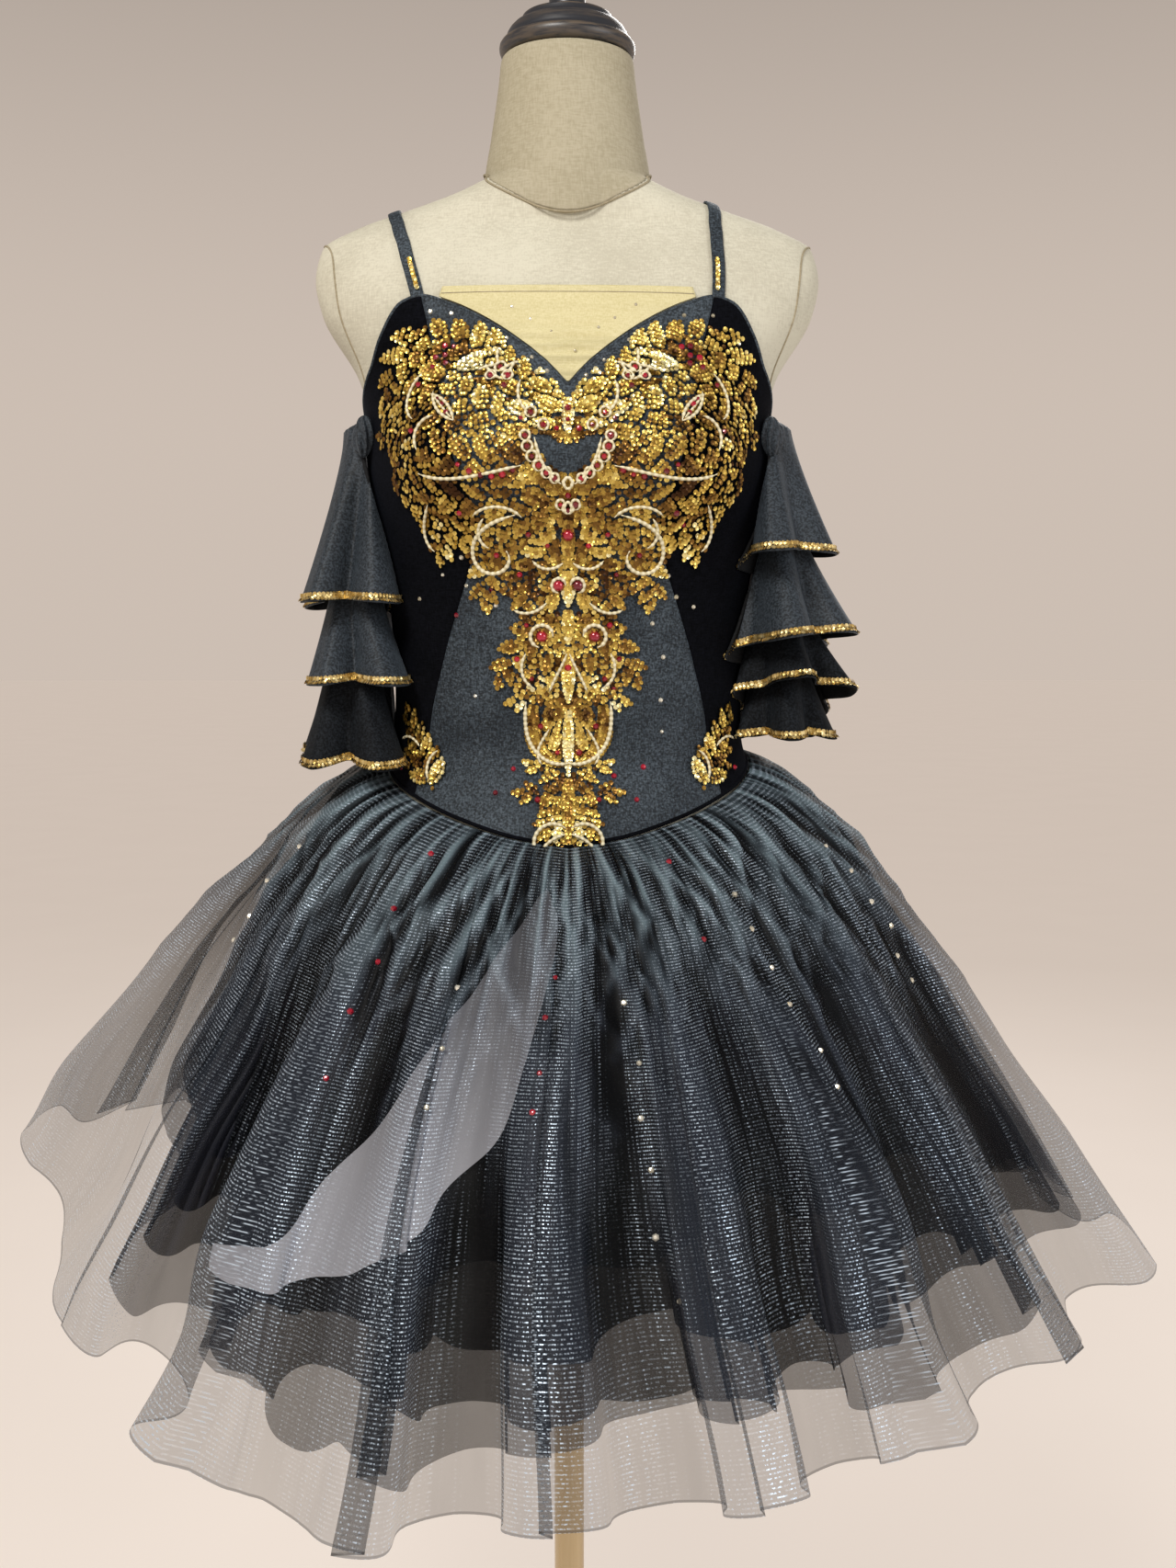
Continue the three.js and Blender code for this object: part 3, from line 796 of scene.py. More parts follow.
@dataclass(frozen=True)
class Weave:
    """A woven or knitted cloth: two colours mixed by its grain, soft relief, and optional painted crease shade."""

    name: str
    dark: Colour
    light: Colour
    grain: float = 900.0
    roughness: float = 0.85
    sheen: float = 0.0
    sheen_tint: Colour = (1.0, 1.0, 1.0)
    relief: float = 0.25
    patch: float = 0.3
    gloss: float = 0.25
    creased: tuple[float, float] | None = None
    fleck: float = 0.0

    def build(self) -> Material:
        """Mixes threads in both directions, slow patches of tone, a pebbled fleck, and any painted crease shade.

        Returns:
            The material.
        """
        graph = Graph(self.name, Roughness=self.roughness, Sheen_Weight=self.sheen, Sheen_Tint=self.sheen_tint,
                      Sheen_Roughness=0.4, Specular_IOR_Level=self.gloss)
        upright = graph.noise(graph.place((1, 1, 0.16)), self.grain, 2)
        level = graph.noise(graph.place((0.2, 0.2, 1.0)), self.grain, 2)
        thread = graph.math("ADD", upright, level)
        slow = graph.noise(graph.place(), 14, 3)
        tone = graph.math("ADD", graph.math("MULTIPLY", thread, 0.5), graph.math("MULTIPLY", slow, self.patch))
        middle = 0.5 + 0.5 * self.patch
        base = graph.ramp(graph.step(tone, middle - 0.2, middle + 0.2), (0, self.dark), (1, self.light))
        # painted shade: fold noise darkens the colour, fully below the lower height and faintly above the upper one
        if self.creased:
            crease_shade = graph.step(graph.noise(graph.place((9, 9, 190)), 1, 2), 0.4, 0.64, 0, 0.55)
            height = graph.node("SeparateXYZ", {0: graph.place()}).outputs[2]
            shaded = graph.math("MULTIPLY", crease_shade, graph.step(height, *self.creased, 1, 0.12))
            base = graph.blend(shaded, base, tuple(0.62 * part for part in self.dark))
        if self.fleck:
            lit = graph.step(graph.noise(graph.place(), 620, 1), 0.36, 0.64, 1 - self.fleck, 1 + self.fleck)
            base = graph.node("VectorMath", {0: base, "Scale": lit}, operation="SCALE").outputs[0]
        graph.set("Base Color", base)
        graph.bump(thread, self.relief, 0.0006)
        return graph.material


@dataclass(frozen=True)
class Metal:
    """A metal or turned wood finish with brushed or worn streaks."""

    name: str
    dark: Colour
    light: Colour
    metallic: float
    roughness: float
    streak: Triple
    worn: bool = False

    def build(self) -> Material:
        """Mixes the two colours by streaks, or by wear at the edges.

        Returns:
            The material.
        """
        graph = Graph(self.name, Metallic=self.metallic, Roughness=self.roughness)
        streaks = graph.noise(graph.place(self.streak), 60, 4, 0.6)
        share = graph.step(streaks, 0.3, 0.75)
        if self.worn:
            edge = graph.node("NewGeometry", {}).outputs["Pointiness"]
            share = graph.math("MULTIPLY", graph.step(edge, 0.5, 0.58), graph.step(streaks, 0.35, 0.6))
        graph.set("Base Color", graph.ramp(share, (0, self.dark), (1, self.light)))
        graph.set("Roughness", graph.step(streaks, 0.2, 0.8, self.roughness - 0.05, self.roughness + 0.08))
        graph.bump(streaks, 0.03, 0.0004)
        return graph.material


@dataclass(frozen=True)
class Spangle:
    """A shiny finish whose colour follows each copy's own shade."""

    name: str
    stops: tuple[tuple[float, Colour], ...]
    metallic: float = 0.9
    roughness: float = 0.3
    coat: float = 0.0

    def build(self) -> Material:
        """Colours each copy by its shade.

        Returns:
            The material.
        """
        graph = Graph(self.name, Metallic=self.metallic, Roughness=self.roughness, Coat_Weight=self.coat,
                      Coat_Roughness=0.05)
        shade = graph.node("Attribute", {}, attribute_name="shade").outputs["Fac"]
        graph.set("Base Color", graph.ramp(shade, *self.stops))
        fine = graph.noise(graph.place(), 700, 2)
        graph.bump(fine, 0.15, 0.0003)
        return graph.material


@dataclass(frozen=True)
class Sheer:
    """See-through net or tulle, denser at the gathered waist, painted fold light and shade, optional silver glints."""

    name: str
    colour: Colour
    waist_cover: float
    hem_cover: float
    hem_at: float = 0.43
    # glints: silver dashes, partly the net's shiny threads and partly painted highlight
    glints: bool = False
    glint_colour: Colour = (0.62, 0.74, 0.88)
    # the colour of the painted sheen on the ridges near the waist
    waist_colour: Colour = (0.088, 0.122, 0.138)
    cloudiness: float = 0.1

    def build(self) -> Material:
        """Mixes cover, ground and glints. The cloth's place is in metres: across it, then down from the waist.

        Returns:
            The material.
        """
        graph = Graph(self.name, Roughness=0.5, Specular_IOR_Level=0.12)
        # the fold map from the skirt: 0 in a crease, 1 on a ridge; it paints the light and shade of the folds
        shade = graph.node("Attribute", {}, attribute_name="shade").outputs["Fac"]
        down = graph.node("SeparateXYZ", {0: graph.place((1, 1, 1), True)}).outputs[1]
        cloud = graph.noise(graph.place((26, 6, 1), True), 1, 3, 0.6)
        drift = graph.math("MULTIPLY", graph.math("SUBTRACT", cloud, 0.5), self.cloudiness * 2)
        cover = graph.math("ADD", graph.step(down, 0.03, 0.3, self.waist_cover, self.hem_cover), drift)
        edge = graph.step(down, self.hem_at - 0.0022, self.hem_at - 0.0012, 0, 0.6)
        cover = graph.math("MAXIMUM", cover, edge)
        # painted sheen: near the waist the ridges take the lighter waist sheen colour, standing in for the shine of
        # the gathered net
        high = graph.step(down, 0.015, 0.16, 1, 0)
        raised = graph.math("MULTIPLY", high, graph.math("POWER", shade, 1.8))
        ground = graph.ramp(raised, (0, self.colour), (1, self.waist_colour))
        # painted shade and highlight: the ground darkens in creases and brightens on ridges
        lit = graph.step(shade, 0.2, 0.88, 0.12, 2.1)
        ground = graph.node("VectorMath", {0: ground, "Scale": lit}, operation="SCALE").outputs[0]
        if not self.glints:
            graph.set("Base Color", ground)
            graph.set("Alpha", cover)
            return graph.material
        # glints: short dashes of silver in the base colour, partly shiny thread and partly painted highlight
        rows = graph.math("SINE", graph.math("MULTIPLY", down, 2 * math.pi / 0.0024))
        columns = graph.noise(graph.place((280, 8, 1), True), 1, 2, 0.55)
        broad = graph.noise(graph.place((18, 5, 1), True), 1, 2, 0.5)
        breaks = graph.noise(graph.place((640, 417, 1), True), 1, 1)
        zone = graph.math("ADD", columns, graph.math("MULTIPLY", broad, 0.8))
        # painted highlight: the glints gather on the ridges of the fold map
        zone = graph.math("ADD", zone, graph.math("MULTIPLY", shade, 0.26))
        streak = graph.step(zone, 0.86, 1.3)
        dash = graph.math("MULTIPLY", graph.step(rows, 0.0, 0.8), graph.step(breaks, 0.4, 0.58))
        glint = graph.math("MULTIPLY", streak, dash)
        graph.set("Base Color", graph.blend(glint, ground, self.glint_colour))
        graph.set("Metallic", graph.math("MULTIPLY", glint, 0.4))
        graph.set("Roughness", graph.step(glint, 0, 1, 0.5, 0.34))
        graph.set("Alpha", graph.math("MAXIMUM", cover, graph.math("MULTIPLY", glint, 0.9)))
        return graph.material


class Finishes:
    """Every material of the object, made once."""

    def __init__(self) -> None:
        """Builds the materials."""
        tint = (0.44, 0.55, 0.68)
        self.linen = Weave("form linen", (0.5, 0.475, 0.38), (0.62, 0.6, 0.49), 900, roughness=0.9, relief=0.2,
                           patch=0.7).build()
        self.neck_linen = Weave("neck linen", (0.345, 0.31, 0.215), (0.435, 0.395, 0.292), 900, roughness=0.9,
                                relief=0.12, patch=0.5).build()
        self.linen_edge = Weave("linen edge", (0.27, 0.23, 0.15), (0.38, 0.33, 0.23), 900, roughness=0.9).build()
        self.ebony = Metal("turned ebony", (0.022, 0.024, 0.03), (0.19, 0.14, 0.09), 0.0, 0.36, (1, 1, 9),
                           True).build()
        self.brass = Metal("brushed brass", (0.5, 0.39, 0.235), (0.62, 0.5, 0.32), 1.0, 0.3, (1, 1, 0.05)).build()
        self.jersey = Weave("charcoal jersey", (0.01, 0.015, 0.021), (0.053, 0.069, 0.085), 1300, roughness=0.68,
                            sheen=0.1, sheen_tint=(0.44, 0.56, 0.72), relief=0.3, patch=0.6, fleck=0.5).build()
        self.velvet = Weave("black velvet", (0.001, 0.0012, 0.0018), (0.004, 0.0045, 0.007), 1100, roughness=0.95,
                            sheen=0.06, sheen_tint=(0.2, 0.24, 0.36), relief=0.25, patch=0.5, gloss=0.06).build()
        # the mesh has painted crease shade on its lower part, near the neckline's point
        self.mesh = Weave("nude mesh", (0.56, 0.5, 0.26), (0.68, 0.62, 0.37), 1300, roughness=0.7, relief=0.1,
                          creased=(1.296, 1.336)).build()
        self.crepe = Weave("charcoal crepe", (0.018, 0.024, 0.031), (0.036, 0.045, 0.056), 1300, roughness=0.6,
                           sheen=0.15, sheen_tint=tint, relief=0.14, fleck=0.5).build()
        # painted shade: a darker, duller crepe for the lower flounces, standing in for the shade that the flounces
        # above cast
        self.crepe_lower = Weave("black crepe", (0.004, 0.005, 0.0065), (0.011, 0.0135, 0.017), 1300, roughness=0.75,
                                 sheen=0.05, sheen_tint=tint, relief=0.14, fleck=0.5, gloss=0.12).build()
        # painted shade: the sleeves' inner faces are much darker than their outer faces, standing in for the shade
        # inside the tube and flounces
        self.crepe_back = Weave("crepe's back", (0.004, 0.0045, 0.005), (0.012, 0.013, 0.015), 900).build()
        gold = ((0.0, (0.05, 0.02, 0.006)), (0.3, (0.26, 0.135, 0.028)), (0.55, (0.58, 0.385, 0.075)),
                (0.8, (0.9, 0.68, 0.18)), (1.0, (1.0, 0.92, 0.52)))
        self.sequin = Spangle("gold sequin", gold, 0.85, 0.3).build()
        pale_gold = ((0.0, (0.2, 0.12, 0.03)), (0.5, (0.55, 0.38, 0.12)), (1.0, (0.95, 0.8, 0.42)))
        self.braid = Spangle("braid sequin", pale_gold, 0.8, 0.34).build()
        self.cord = Spangle("pale gold cord", ((0, (0.5, 0.42, 0.22)), (1, (0.86, 0.8, 0.58))), 0.1, 0.5).build()
        self.red = Spangle("red stone", ((0, (0.13, 0.0, 0.008)), (1, (0.5, 0.008, 0.035))), 0.3, 0.16, 1.0).build()
        self.pale = Spangle("pale stone", ((0, (0.55, 0.5, 0.36)), (1, (1.0, 0.97, 0.85))), 0.55, 0.14, 1.0).build()
        self.net = Sheer("glitter net", (0.015, 0.019, 0.027), 0.74, 0.38, 0.43, True).build()
        self.tulles = [Sheer(*row).build() for row in (
            ("upper tulle", (0.008, 0.009, 0.013), 0.85, 0.6, 0.4),
            ("middle tulle", (0.007, 0.008, 0.012), 0.9, 0.76, 0.378),
            ("lower tulle", (0.006, 0.007, 0.011), 0.95, 0.9, 0.353))]
        self.lining = Sheer("skirt lining", (0.006, 0.007, 0.011), 1.0, 1.0, 0.301, cloudiness=0.0).build()
        self.petal = Sheer("pale sheer", (0.86, 0.88, 0.98), 0.85, 0.68, 1.0, waist_colour=(0.86, 0.88, 0.98),
                           cloudiness=0.05).build()


# ---- pieces


@dataclass
class Part:
    """A sub-assembly: it holds its sizes, and makes and dresses its pieces, which ride on the frame."""

    finish: Finishes

    def piece(self, name: str, surface: Surface, material: Material, slot: Slot, replaces: Sequence[str] = (),
              back: Material | None = None, flat_shaded: bool = False) -> bpy.types.Object:
        """Makes one piece.

        Args:
            name: the piece's name.
            surface: its shape.
            material: its finish.
            slot: the record's slot that the finish stands for.
            replaces: the frame's nodes that it stands for.
            back: the finish of a shell's inner face.
            flat_shaded: whether its facets show.

        Returns:
            The new object.
        """
        mesh = bpy.data.meshes.new(name)
        mesh.vertices.add(len(surface.points))
        mesh.vertices.foreach_set("co", (surface.points * MM).astype(np.float32).ravel())
        corners = np.concatenate([f.ravel() for f in surface.faces]).astype(np.int32)
        sizes = np.concatenate([np.full(len(f), f.shape[1]) for f in surface.faces])
        mesh.loops.add(len(corners))
        mesh.loops.foreach_set("vertex_index", corners)
        mesh.polygons.add(len(sizes))
        mesh.polygons.foreach_set("loop_start", np.concatenate(([0], np.cumsum(sizes)[:-1])).astype(np.int32))
        mesh.polygons.foreach_set("use_smooth", np.full(len(sizes), not flat_shaded))
        mesh.update(calc_edges=True)
        if surface.cloth is not None:
            layer = mesh.uv_layers.new(name="cloth")
            layer.data.foreach_set("uv", (surface.cloth[corners] * MM).astype(np.float32).ravel())
        if surface.shade is not None:
            mesh.attributes.new("shade", "FLOAT", "POINT").data.foreach_set("value", surface.shade.astype(np.float32))
        mesh.materials.append(material)
        if back is not None:
            mesh.materials.append(back)
            which = np.zeros(len(sizes), np.int32)
            which[: surface.inner_faces] = 1
            mesh.polygons.foreach_set("material_index", which)
        mesh.validate()
        made = linked(name, mesh)
        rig.ride(made, "root")
        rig.slot(made, slot.value)
        if replaces:
            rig.replaces(made, *replaces)
        LOG.info("%s: %d points", name, len(surface.points))
        return made


@dataclass
class DressForm(Part):
    """The padded form with its neck block and turned cap."""

    foot_z: float = 800
    top_z: float = 1448
    neck_top_z: float = 1538
    neck: Table = Table(
        "z half front back", (1398, 63, 61, 60), (1448, 62, 58, 58), (1480, 57, 54, 55), (1520, 51, 50, 50),
        (1534, 49.4, 48.4, 48.4), (1537, 48.4, 47.4, 47.4), (1538, 46, 45, 45),
    )
    cap: Table = Table(
        "rise radius", (0.4, 46), (1.5, 48.2), (3, 49.6), (5, 50.4), (7, 50.6), (9, 50.3), (10.6, 49.2), (11.4, 47.4),
        (12.2, 46.2), (14, 45.6), (17, 44.8), (20, 43), (22.6, 40.4), (24.4, 37.2), (25.4, 35), (26.2, 34.2),
        (28.6, 33.9), (29.6, 33.4), (30, 32),
    )
    knob: Table = Table(
        "rise radius", (30.3, 17), (32.6, 17), (34.2, 16.2), (35.2, 14.2), (37, 13.5), (45, 13.5), (46.6, 14.4),
        (48, 15.8), (49.6, 16.2), (51, 15.6), (52, 13.6), (53, 12.6), (55, 13.2), (58, 15.4), (61, 17), (64, 17.5),
        (67, 17), (70, 15.6), (73, 12.8), (75.6, 9.6), (77.4, 6), (78, 3),
    )
    sides: int = 160
    seam_z: float = 1437.5
    seam_tilt: float = 7
    seam_dip: float = 17
    arm_plate: Triple = (168.0, -4, 1322)
    arm_plate_half: tuple[float, float] = (47, 74)

    def torso(self) -> Surface:
        """The torso, rounded where its side meets its underside.

        Returns:
            The surface.
        """
        z = np.concatenate((np.linspace(self.top_z, 1300, 70, endpoint=False), np.linspace(1300, self.foot_z, 90)))
        turn = np.linspace(-180, 180, self.sides, endpoint=False)
        roll = 5.0
        low = np.clip((self.foot_z + roll - z) / roll, 0, 1)
        inset = roll * (1 - np.sqrt(1 - low**2))
        grid = BODY.point(turn[None, :], z[:, None], -inset[:, None] * 0.7)
        grid[..., 2] = np.maximum(grid[..., 2], self.foot_z)
        return capped(grid)

    def neck_block(self) -> Surface:
        """The neck block, with a rolled edge under the cap.

        Returns:
            The surface.
        """
        turn = circle(240)[None, :]
        edge, foot = self.neck_top_z, self.neck["z"][0]
        z = np.concatenate((np.linspace(edge, edge - 8, 12), np.linspace(edge - 10, self.top_z + 2, 24),
                            np.linspace(self.top_z + 0.5, foot, 70)))[:, None]
        radius = self.neck_radius(turn, z)
        shoulder = BODY.radius(turn, z)
        over = np.maximum(radius, shoulder + 0.7)
        under = np.minimum(radius, shoulder - 0.7)
        share = np.clip((z - self.neck_seam_height(turn)) / 1.5, 0, 1)
        radius = np.where(z < self.top_z + 1, mix(under, over, share), radius)
        return capped(polar(turn, radius, z))

    def neck_radius(self, turn: Array, z: Array) -> Array:
        """The neck block's radius."""
        half, front, back = (self.neck.curve("z", name)(z) for name in ("half", "front", "back"))
        depth = np.where(np.cos(turn) > 0, front, back)
        return ((np.sin(turn) / half) ** 2 + (np.cos(turn) / depth) ** 2) ** -0.5

    def neck_seam_height(self, turn: Array) -> Array:
        """Where the neck's cover meets the shoulders' cover."""
        return self.seam_z - self.seam_tilt * np.cos(turn) - self.seam_dip * np.cos(2 * turn)

    def neck_seam(self) -> Surface:
        """The fine cord where the neck's cover meets the shoulders' cover."""
        turn = np.radians(np.linspace(-180, 180, 241))
        z = self.neck_seam_height(turn)
        radius = np.maximum(self.neck_radius(turn, z), BODY.radius(turn, z))
        return tube_surface(polar(turn, radius + 0.4, z), 0.9)

    def arm_seam(self, side: int) -> Surface:
        """The fine cord round the plate that closes an armhole.

        Args:
            side: -1 for left, 1 for right.

        Returns:
            The surface.
        """
        angle = np.linspace(0, 2 * math.pi, 121)
        (x, y, z), (half_y, half_z) = self.arm_plate, self.arm_plate_half
        rim = (np.full_like(angle, side * x), y + half_y * np.sin(angle), z + half_z * np.cos(angle))
        path = np.stack(rim, axis=-1)
        return tube_surface(BODY.laid(path, 0.1), 0.75)

    def build(self) -> None:
        """Makes the form's pieces."""
        self.piece("form_torso_cover", self.torso(), self.finish.linen, Slot.FORM, ["form_torso"])
        self.piece("form_neck_cover", self.neck_block(), self.finish.neck_linen, Slot.FORM, ["form_neck"])
        self.piece("form_neck_cord", self.neck_seam(), self.finish.linen_edge, Slot.FORM)
        for side, name in ((-1, "left"), (1, "right")):
            self.piece(f"form_arm_seam_{name}", self.arm_seam(side), self.finish.linen_edge, Slot.FORM)
        for name, profile in (("neck_cap", self.cap), ("neck_knob", self.knob)):
            rows = np.array([(self.neck_top_z + rise, radius) for rise, radius in profile])
            self.piece(f"{name}_turned", lathe_surface(rows, 96), self.finish.ebony, Slot.CAP, [name])


@dataclass
class Stand(Part):
    """The pole, its flange under the form, and its round foot."""

    pole_radius: float = 12
    foot_radius: float = 150
    foot_height: float = 22
    flange_z: float = 785.7

    def build(self) -> None:
        """Makes the stand's pieces."""
        r, top = self.foot_radius, self.foot_height
        foot = [(0, r - 3), (0.6, r - 1.4), (1.6, r - 0.4), (3, r), (5.4, r - 0.3), (7, r - 1.6), (8.6, r - 6),
                (10.4, r * 0.88), (12, r * 0.78), (14, r * 0.5), (16, 42), (17.4, 26), (19, 21.5), (top - 0.8, 20.6),
                (top, 19.6)]
        pole = [(top + 0.3, self.pole_radius - 0.5), (top + 0.8, self.pole_radius), (784.9, self.pole_radius),
                (785.4, self.pole_radius - 0.5)]
        z = self.flange_z
        flange = [(z, 17), (z + 1, 18), (z + 7.6, 21.6), (z + 8.4, 23.4), (z + 8.8, 43), (z + 9.6, 44.6),
                  (z + 11, 45), (z + 13.4, 44.8), (z + 14, 44)]
        for name, rows in (("stand_foot", foot), ("stand_pole", pole), ("stand_flange", flange)):
            self.piece(f"{name}_metal", lathe_surface(np.array(rows), 96), self.finish.brass, Slot.STAND, [name])


# ---- the bodice


@dataclass
class Bodice(Part):
    """The fitted bodice: panels, nude insert, edge binding and straps."""

    clearance: float = 2.5
    cloth: float = 1.6
    seam_gap: float = 0.4
    passes: int = 14
    cloth_radius: float = 125
    top_edge: Table = Table(
        "turn z", (0, 1284), (8, 1299.5), (20, 1316.5), (34, 1333), (46, 1345), (54, 1351), (58, 1347), (62, 1327),
        (67, 1305), (78, 1284), (90, 1266), (120, 1254), (150, 1249), (180, 1247),
    )
    waist: Table = Table(
        "turn z", (0, 961), (20, 967), (41, 979), (63, 996), (85, 1014), (100, 1021), (130, 1027), (180, 1030),
    )
    princess: Table = Table(
        "z turn", (960, 58), (1000, 59), (1045, 57), (1093, 50), (1133, 42), (1165, 35), (1196, 30), (1238, 33),
        (1300, 45), (1352, 54),
    )
    insert_top_z: float = 1356
    insert_turn: float = 49
    strap: Table = Table(
        "left right y z", (-105, 107.5, -83, 1343), (-108, 108, -80, 1355), (-114, 109, -74, 1376),
        (-120, 108, -60, 1398), (-126, 106, -38, 1416), (-129, 104, -10, 1426), (-129, 104, 16, 1426),
        (-125, 103, 44, 1412), (-117, 99, 74, 1380), (-106, 94, 92, 1335), (-96, 89, 100, 1292), (-90, 86, 102, 1255),
        (-89, 85.5, 102.5, 1242),
    )
    strap_width: float = 9.5
    strap_thickness: float = 1.8

    def __post_init__(self) -> None:
        """Works out the edges' curves."""
        self.face = self.clearance + self.cloth
        self.top_of = self.top_edge.curve("turn", "z")
        self.waist_of = self.waist.curve("turn", "z")
        self.princess_of = self.princess.curve("z", "turn")

    def creases(self, turn: Array, z: Array) -> Array:
        """Drag lines at the waist, and strain under the bust.

        Args:
            turn: degrees round the axis.
            z: heights.

        Returns:
            How far the cloth is lifted.
        """
        low = np.exp(-(((z - 1000) / 26) ** 2))
        drag = np.sin((z + 0.55 * np.abs(turn)) / 5.2 + smooth_noise(turn / 17, 3) * 1.7)
        across = np.exp(-(((np.abs(turn) - 44) / 15) ** 2))
        slow = smooth_noise(turn / 11 + z / 60, 5) * smooth_noise(z / 45 - turn / 40, 6)
        return 0.55 * drag * low * across + 0.5 * slow

    def panel(self, left: Edge, right: Edge, top: Edge, bottom: Edge, size: tuple[int, int], off: float,
              thickness: float, lift: Callable[[Array, Array], Array] | None = None) -> Surface:
        """A panel that lies on the form.

        Args:
            left: the left edge's turn at each height.
            right: the right edge's turn at each height.
            top: the top edge's height at each turn.
            bottom: the bottom edge's height at each turn.
            size: rows and columns of points.
            off: how far its outer face lies off the form.
            thickness: the cloth's thickness.
            lift: how far creases lift it, at turns and heights.

        Returns:
            The panel as a closed wall.
        """
        down, along = np.meshgrid(np.linspace(0, 1, size[0]), np.linspace(0, 1, size[1]), indexing="ij")
        turn = np.zeros_like(down)
        z = mix(top(turn), bottom(turn), down)
        for _ in range(self.passes):
            inset = np.degrees(self.seam_gap / 2 / BODY.radius(np.radians(turn), z))
            turn = mix(left(z) + inset, right(z) - inset, along)
            z = mix(top(turn), bottom(turn), down)
        grid = BODY.laid(BODY.point(turn, z, off), off)
        if lift is not None:
            edge = np.minimum(np.minimum(down, 1 - down) * 12, np.minimum(along, 1 - along) * 10)
            grid = grid + BODY.away(grid)[1] * (lift(turn, z) * np.clip(edge, 0, 1))[..., None]
        cloth = stacked(np.radians(turn) * self.cloth_radius, z)
        return shell_surface(grid, thickness, False, cloth)

    def top_height(self, turn: Array) -> Array:
        """The top edge's height."""
        return self.top_of(np.abs(turn))

    def waist_height(self, turn: Array) -> Array:
        """The waist seam's height."""
        return self.waist_of(np.abs(turn))

    def panels(self) -> None:
        """The front, side and back panels."""
        common = (self.top_height, self.waist_height)
        front = self.panel(lambda z: -self.princess_of(z), self.princess_of, *common, (150, 90), self.face,
                           self.cloth, self.creases)
        piece = self.piece("bodice_front_jersey", front, self.finish.jersey, Slot.JERSEY, ["bodice_front"])
        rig.sheet(piece, flat=(0.27, 0.39), held="stretched", rests_on=["form_torso_cover"], area=front.area())
        spans = [
            ("side", "left", lambda z: 0 * z - 90, lambda z: -self.princess_of(z), (0.14, 0.36)),
            ("side", "right", self.princess_of, lambda z: 0 * z + 90, (0.14, 0.36)),
            ("back", "left", lambda z: 0 * z - 180, lambda z: 0 * z - 90, (0.22, 0.26)),
            ("back", "right", lambda z: 0 * z + 90, lambda z: 0 * z + 180, (0.22, 0.26)),
        ]
        for part, side, left, right, flat in spans:
            wall = self.panel(left, right, *common, (120, 44), self.face, self.cloth, self.creases)
            piece = self.piece(f"bodice_{part}_{side}_velvet", wall, self.finish.velvet, Slot.VELVET,
                               [f"bodice_{part}_{side}"])
            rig.sheet(piece, flat=flat, held="stretched", rests_on=["form_torso_cover"], area=wall.area())

    def insert(self) -> None:
        """The nude insert, with a turned hem along its top and small creases above the neckline's point."""

        def lift(turn: Array, z: Array) -> Array:
            """How far the hem and the small creases lift the mesh."""
            near = np.exp(-((turn / 15) ** 2) - ((z - 1312) / 20) ** 2)
            hem = np.exp(-(((z - self.insert_top_z + 2.5) / 2.2) ** 2))
            return 1.1 * np.sin(z / 1.5 + smooth_noise(turn / 9, 11)) * near + 0.45 * hem

        turn = self.insert_turn
        surface = self.panel(lambda z: 0 * z - turn, lambda z: 0 * z + turn, lambda t: 0 * t + self.insert_top_z,
                             lambda t: self.top_height(t) + 1.2, (60, 110), self.face - 0.3, 1.0, lift)
        piece = self.piece("bodice_insert_mesh", surface, self.finish.mesh, Slot.MESH, ["bodice_insert"])
        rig.sheet(piece, flat=(0.21, 0.075), held="stretched", rests_on=["form_torso_cover"], area=surface.area())
        across = np.linspace(-turn + 0.5, turn - 0.5, 200)
        line = BODY.laid(BODY.point(across, self.insert_top_z - 5.0 + 0 * across, self.face), self.face - 0.25)
        self.piece("bodice_insert_hem_line", tube_surface(line, 0.4), self.finish.linen_edge, Slot.MESH)

    def bindings(self) -> None:
        """The narrow rolled edges: round the top, and over the waist seam."""
        turn = np.linspace(-179.5, 179.5, 500)
        top = BODY.laid(BODY.point(turn, self.top_height(turn) - 1.0, self.face), self.face - 0.6)
        waist = BODY.laid(BODY.point(turn, self.waist_height(turn) + 1.0, self.face), self.face - 0.2)
        self.piece("bodice_top_binding", tube_surface(top, 1.25, 8), self.finish.jersey, Slot.JERSEY)
        self.piece("bodice_waist_piping", tube_surface(waist, 1.5, 8), self.finish.velvet, Slot.VELVET)

    def strap_route(self, side: str) -> Array:
        """A strap's middle line, laid on the form.

        Args:
            side: the strap table's column.

        Returns:
            The points.
        """
        knots = np.array(list(zip(self.strap[side], self.strap["y"], self.strap["z"])), float)
        at = np.arange(len(knots))
        fine = np.linspace(0, len(knots) - 1, 145)
        path = np.stack([Curve(at, knots[:, k])(fine) for k in range(3)], axis=-1)
        return BODY.laid(path, self.clearance + 0.1)

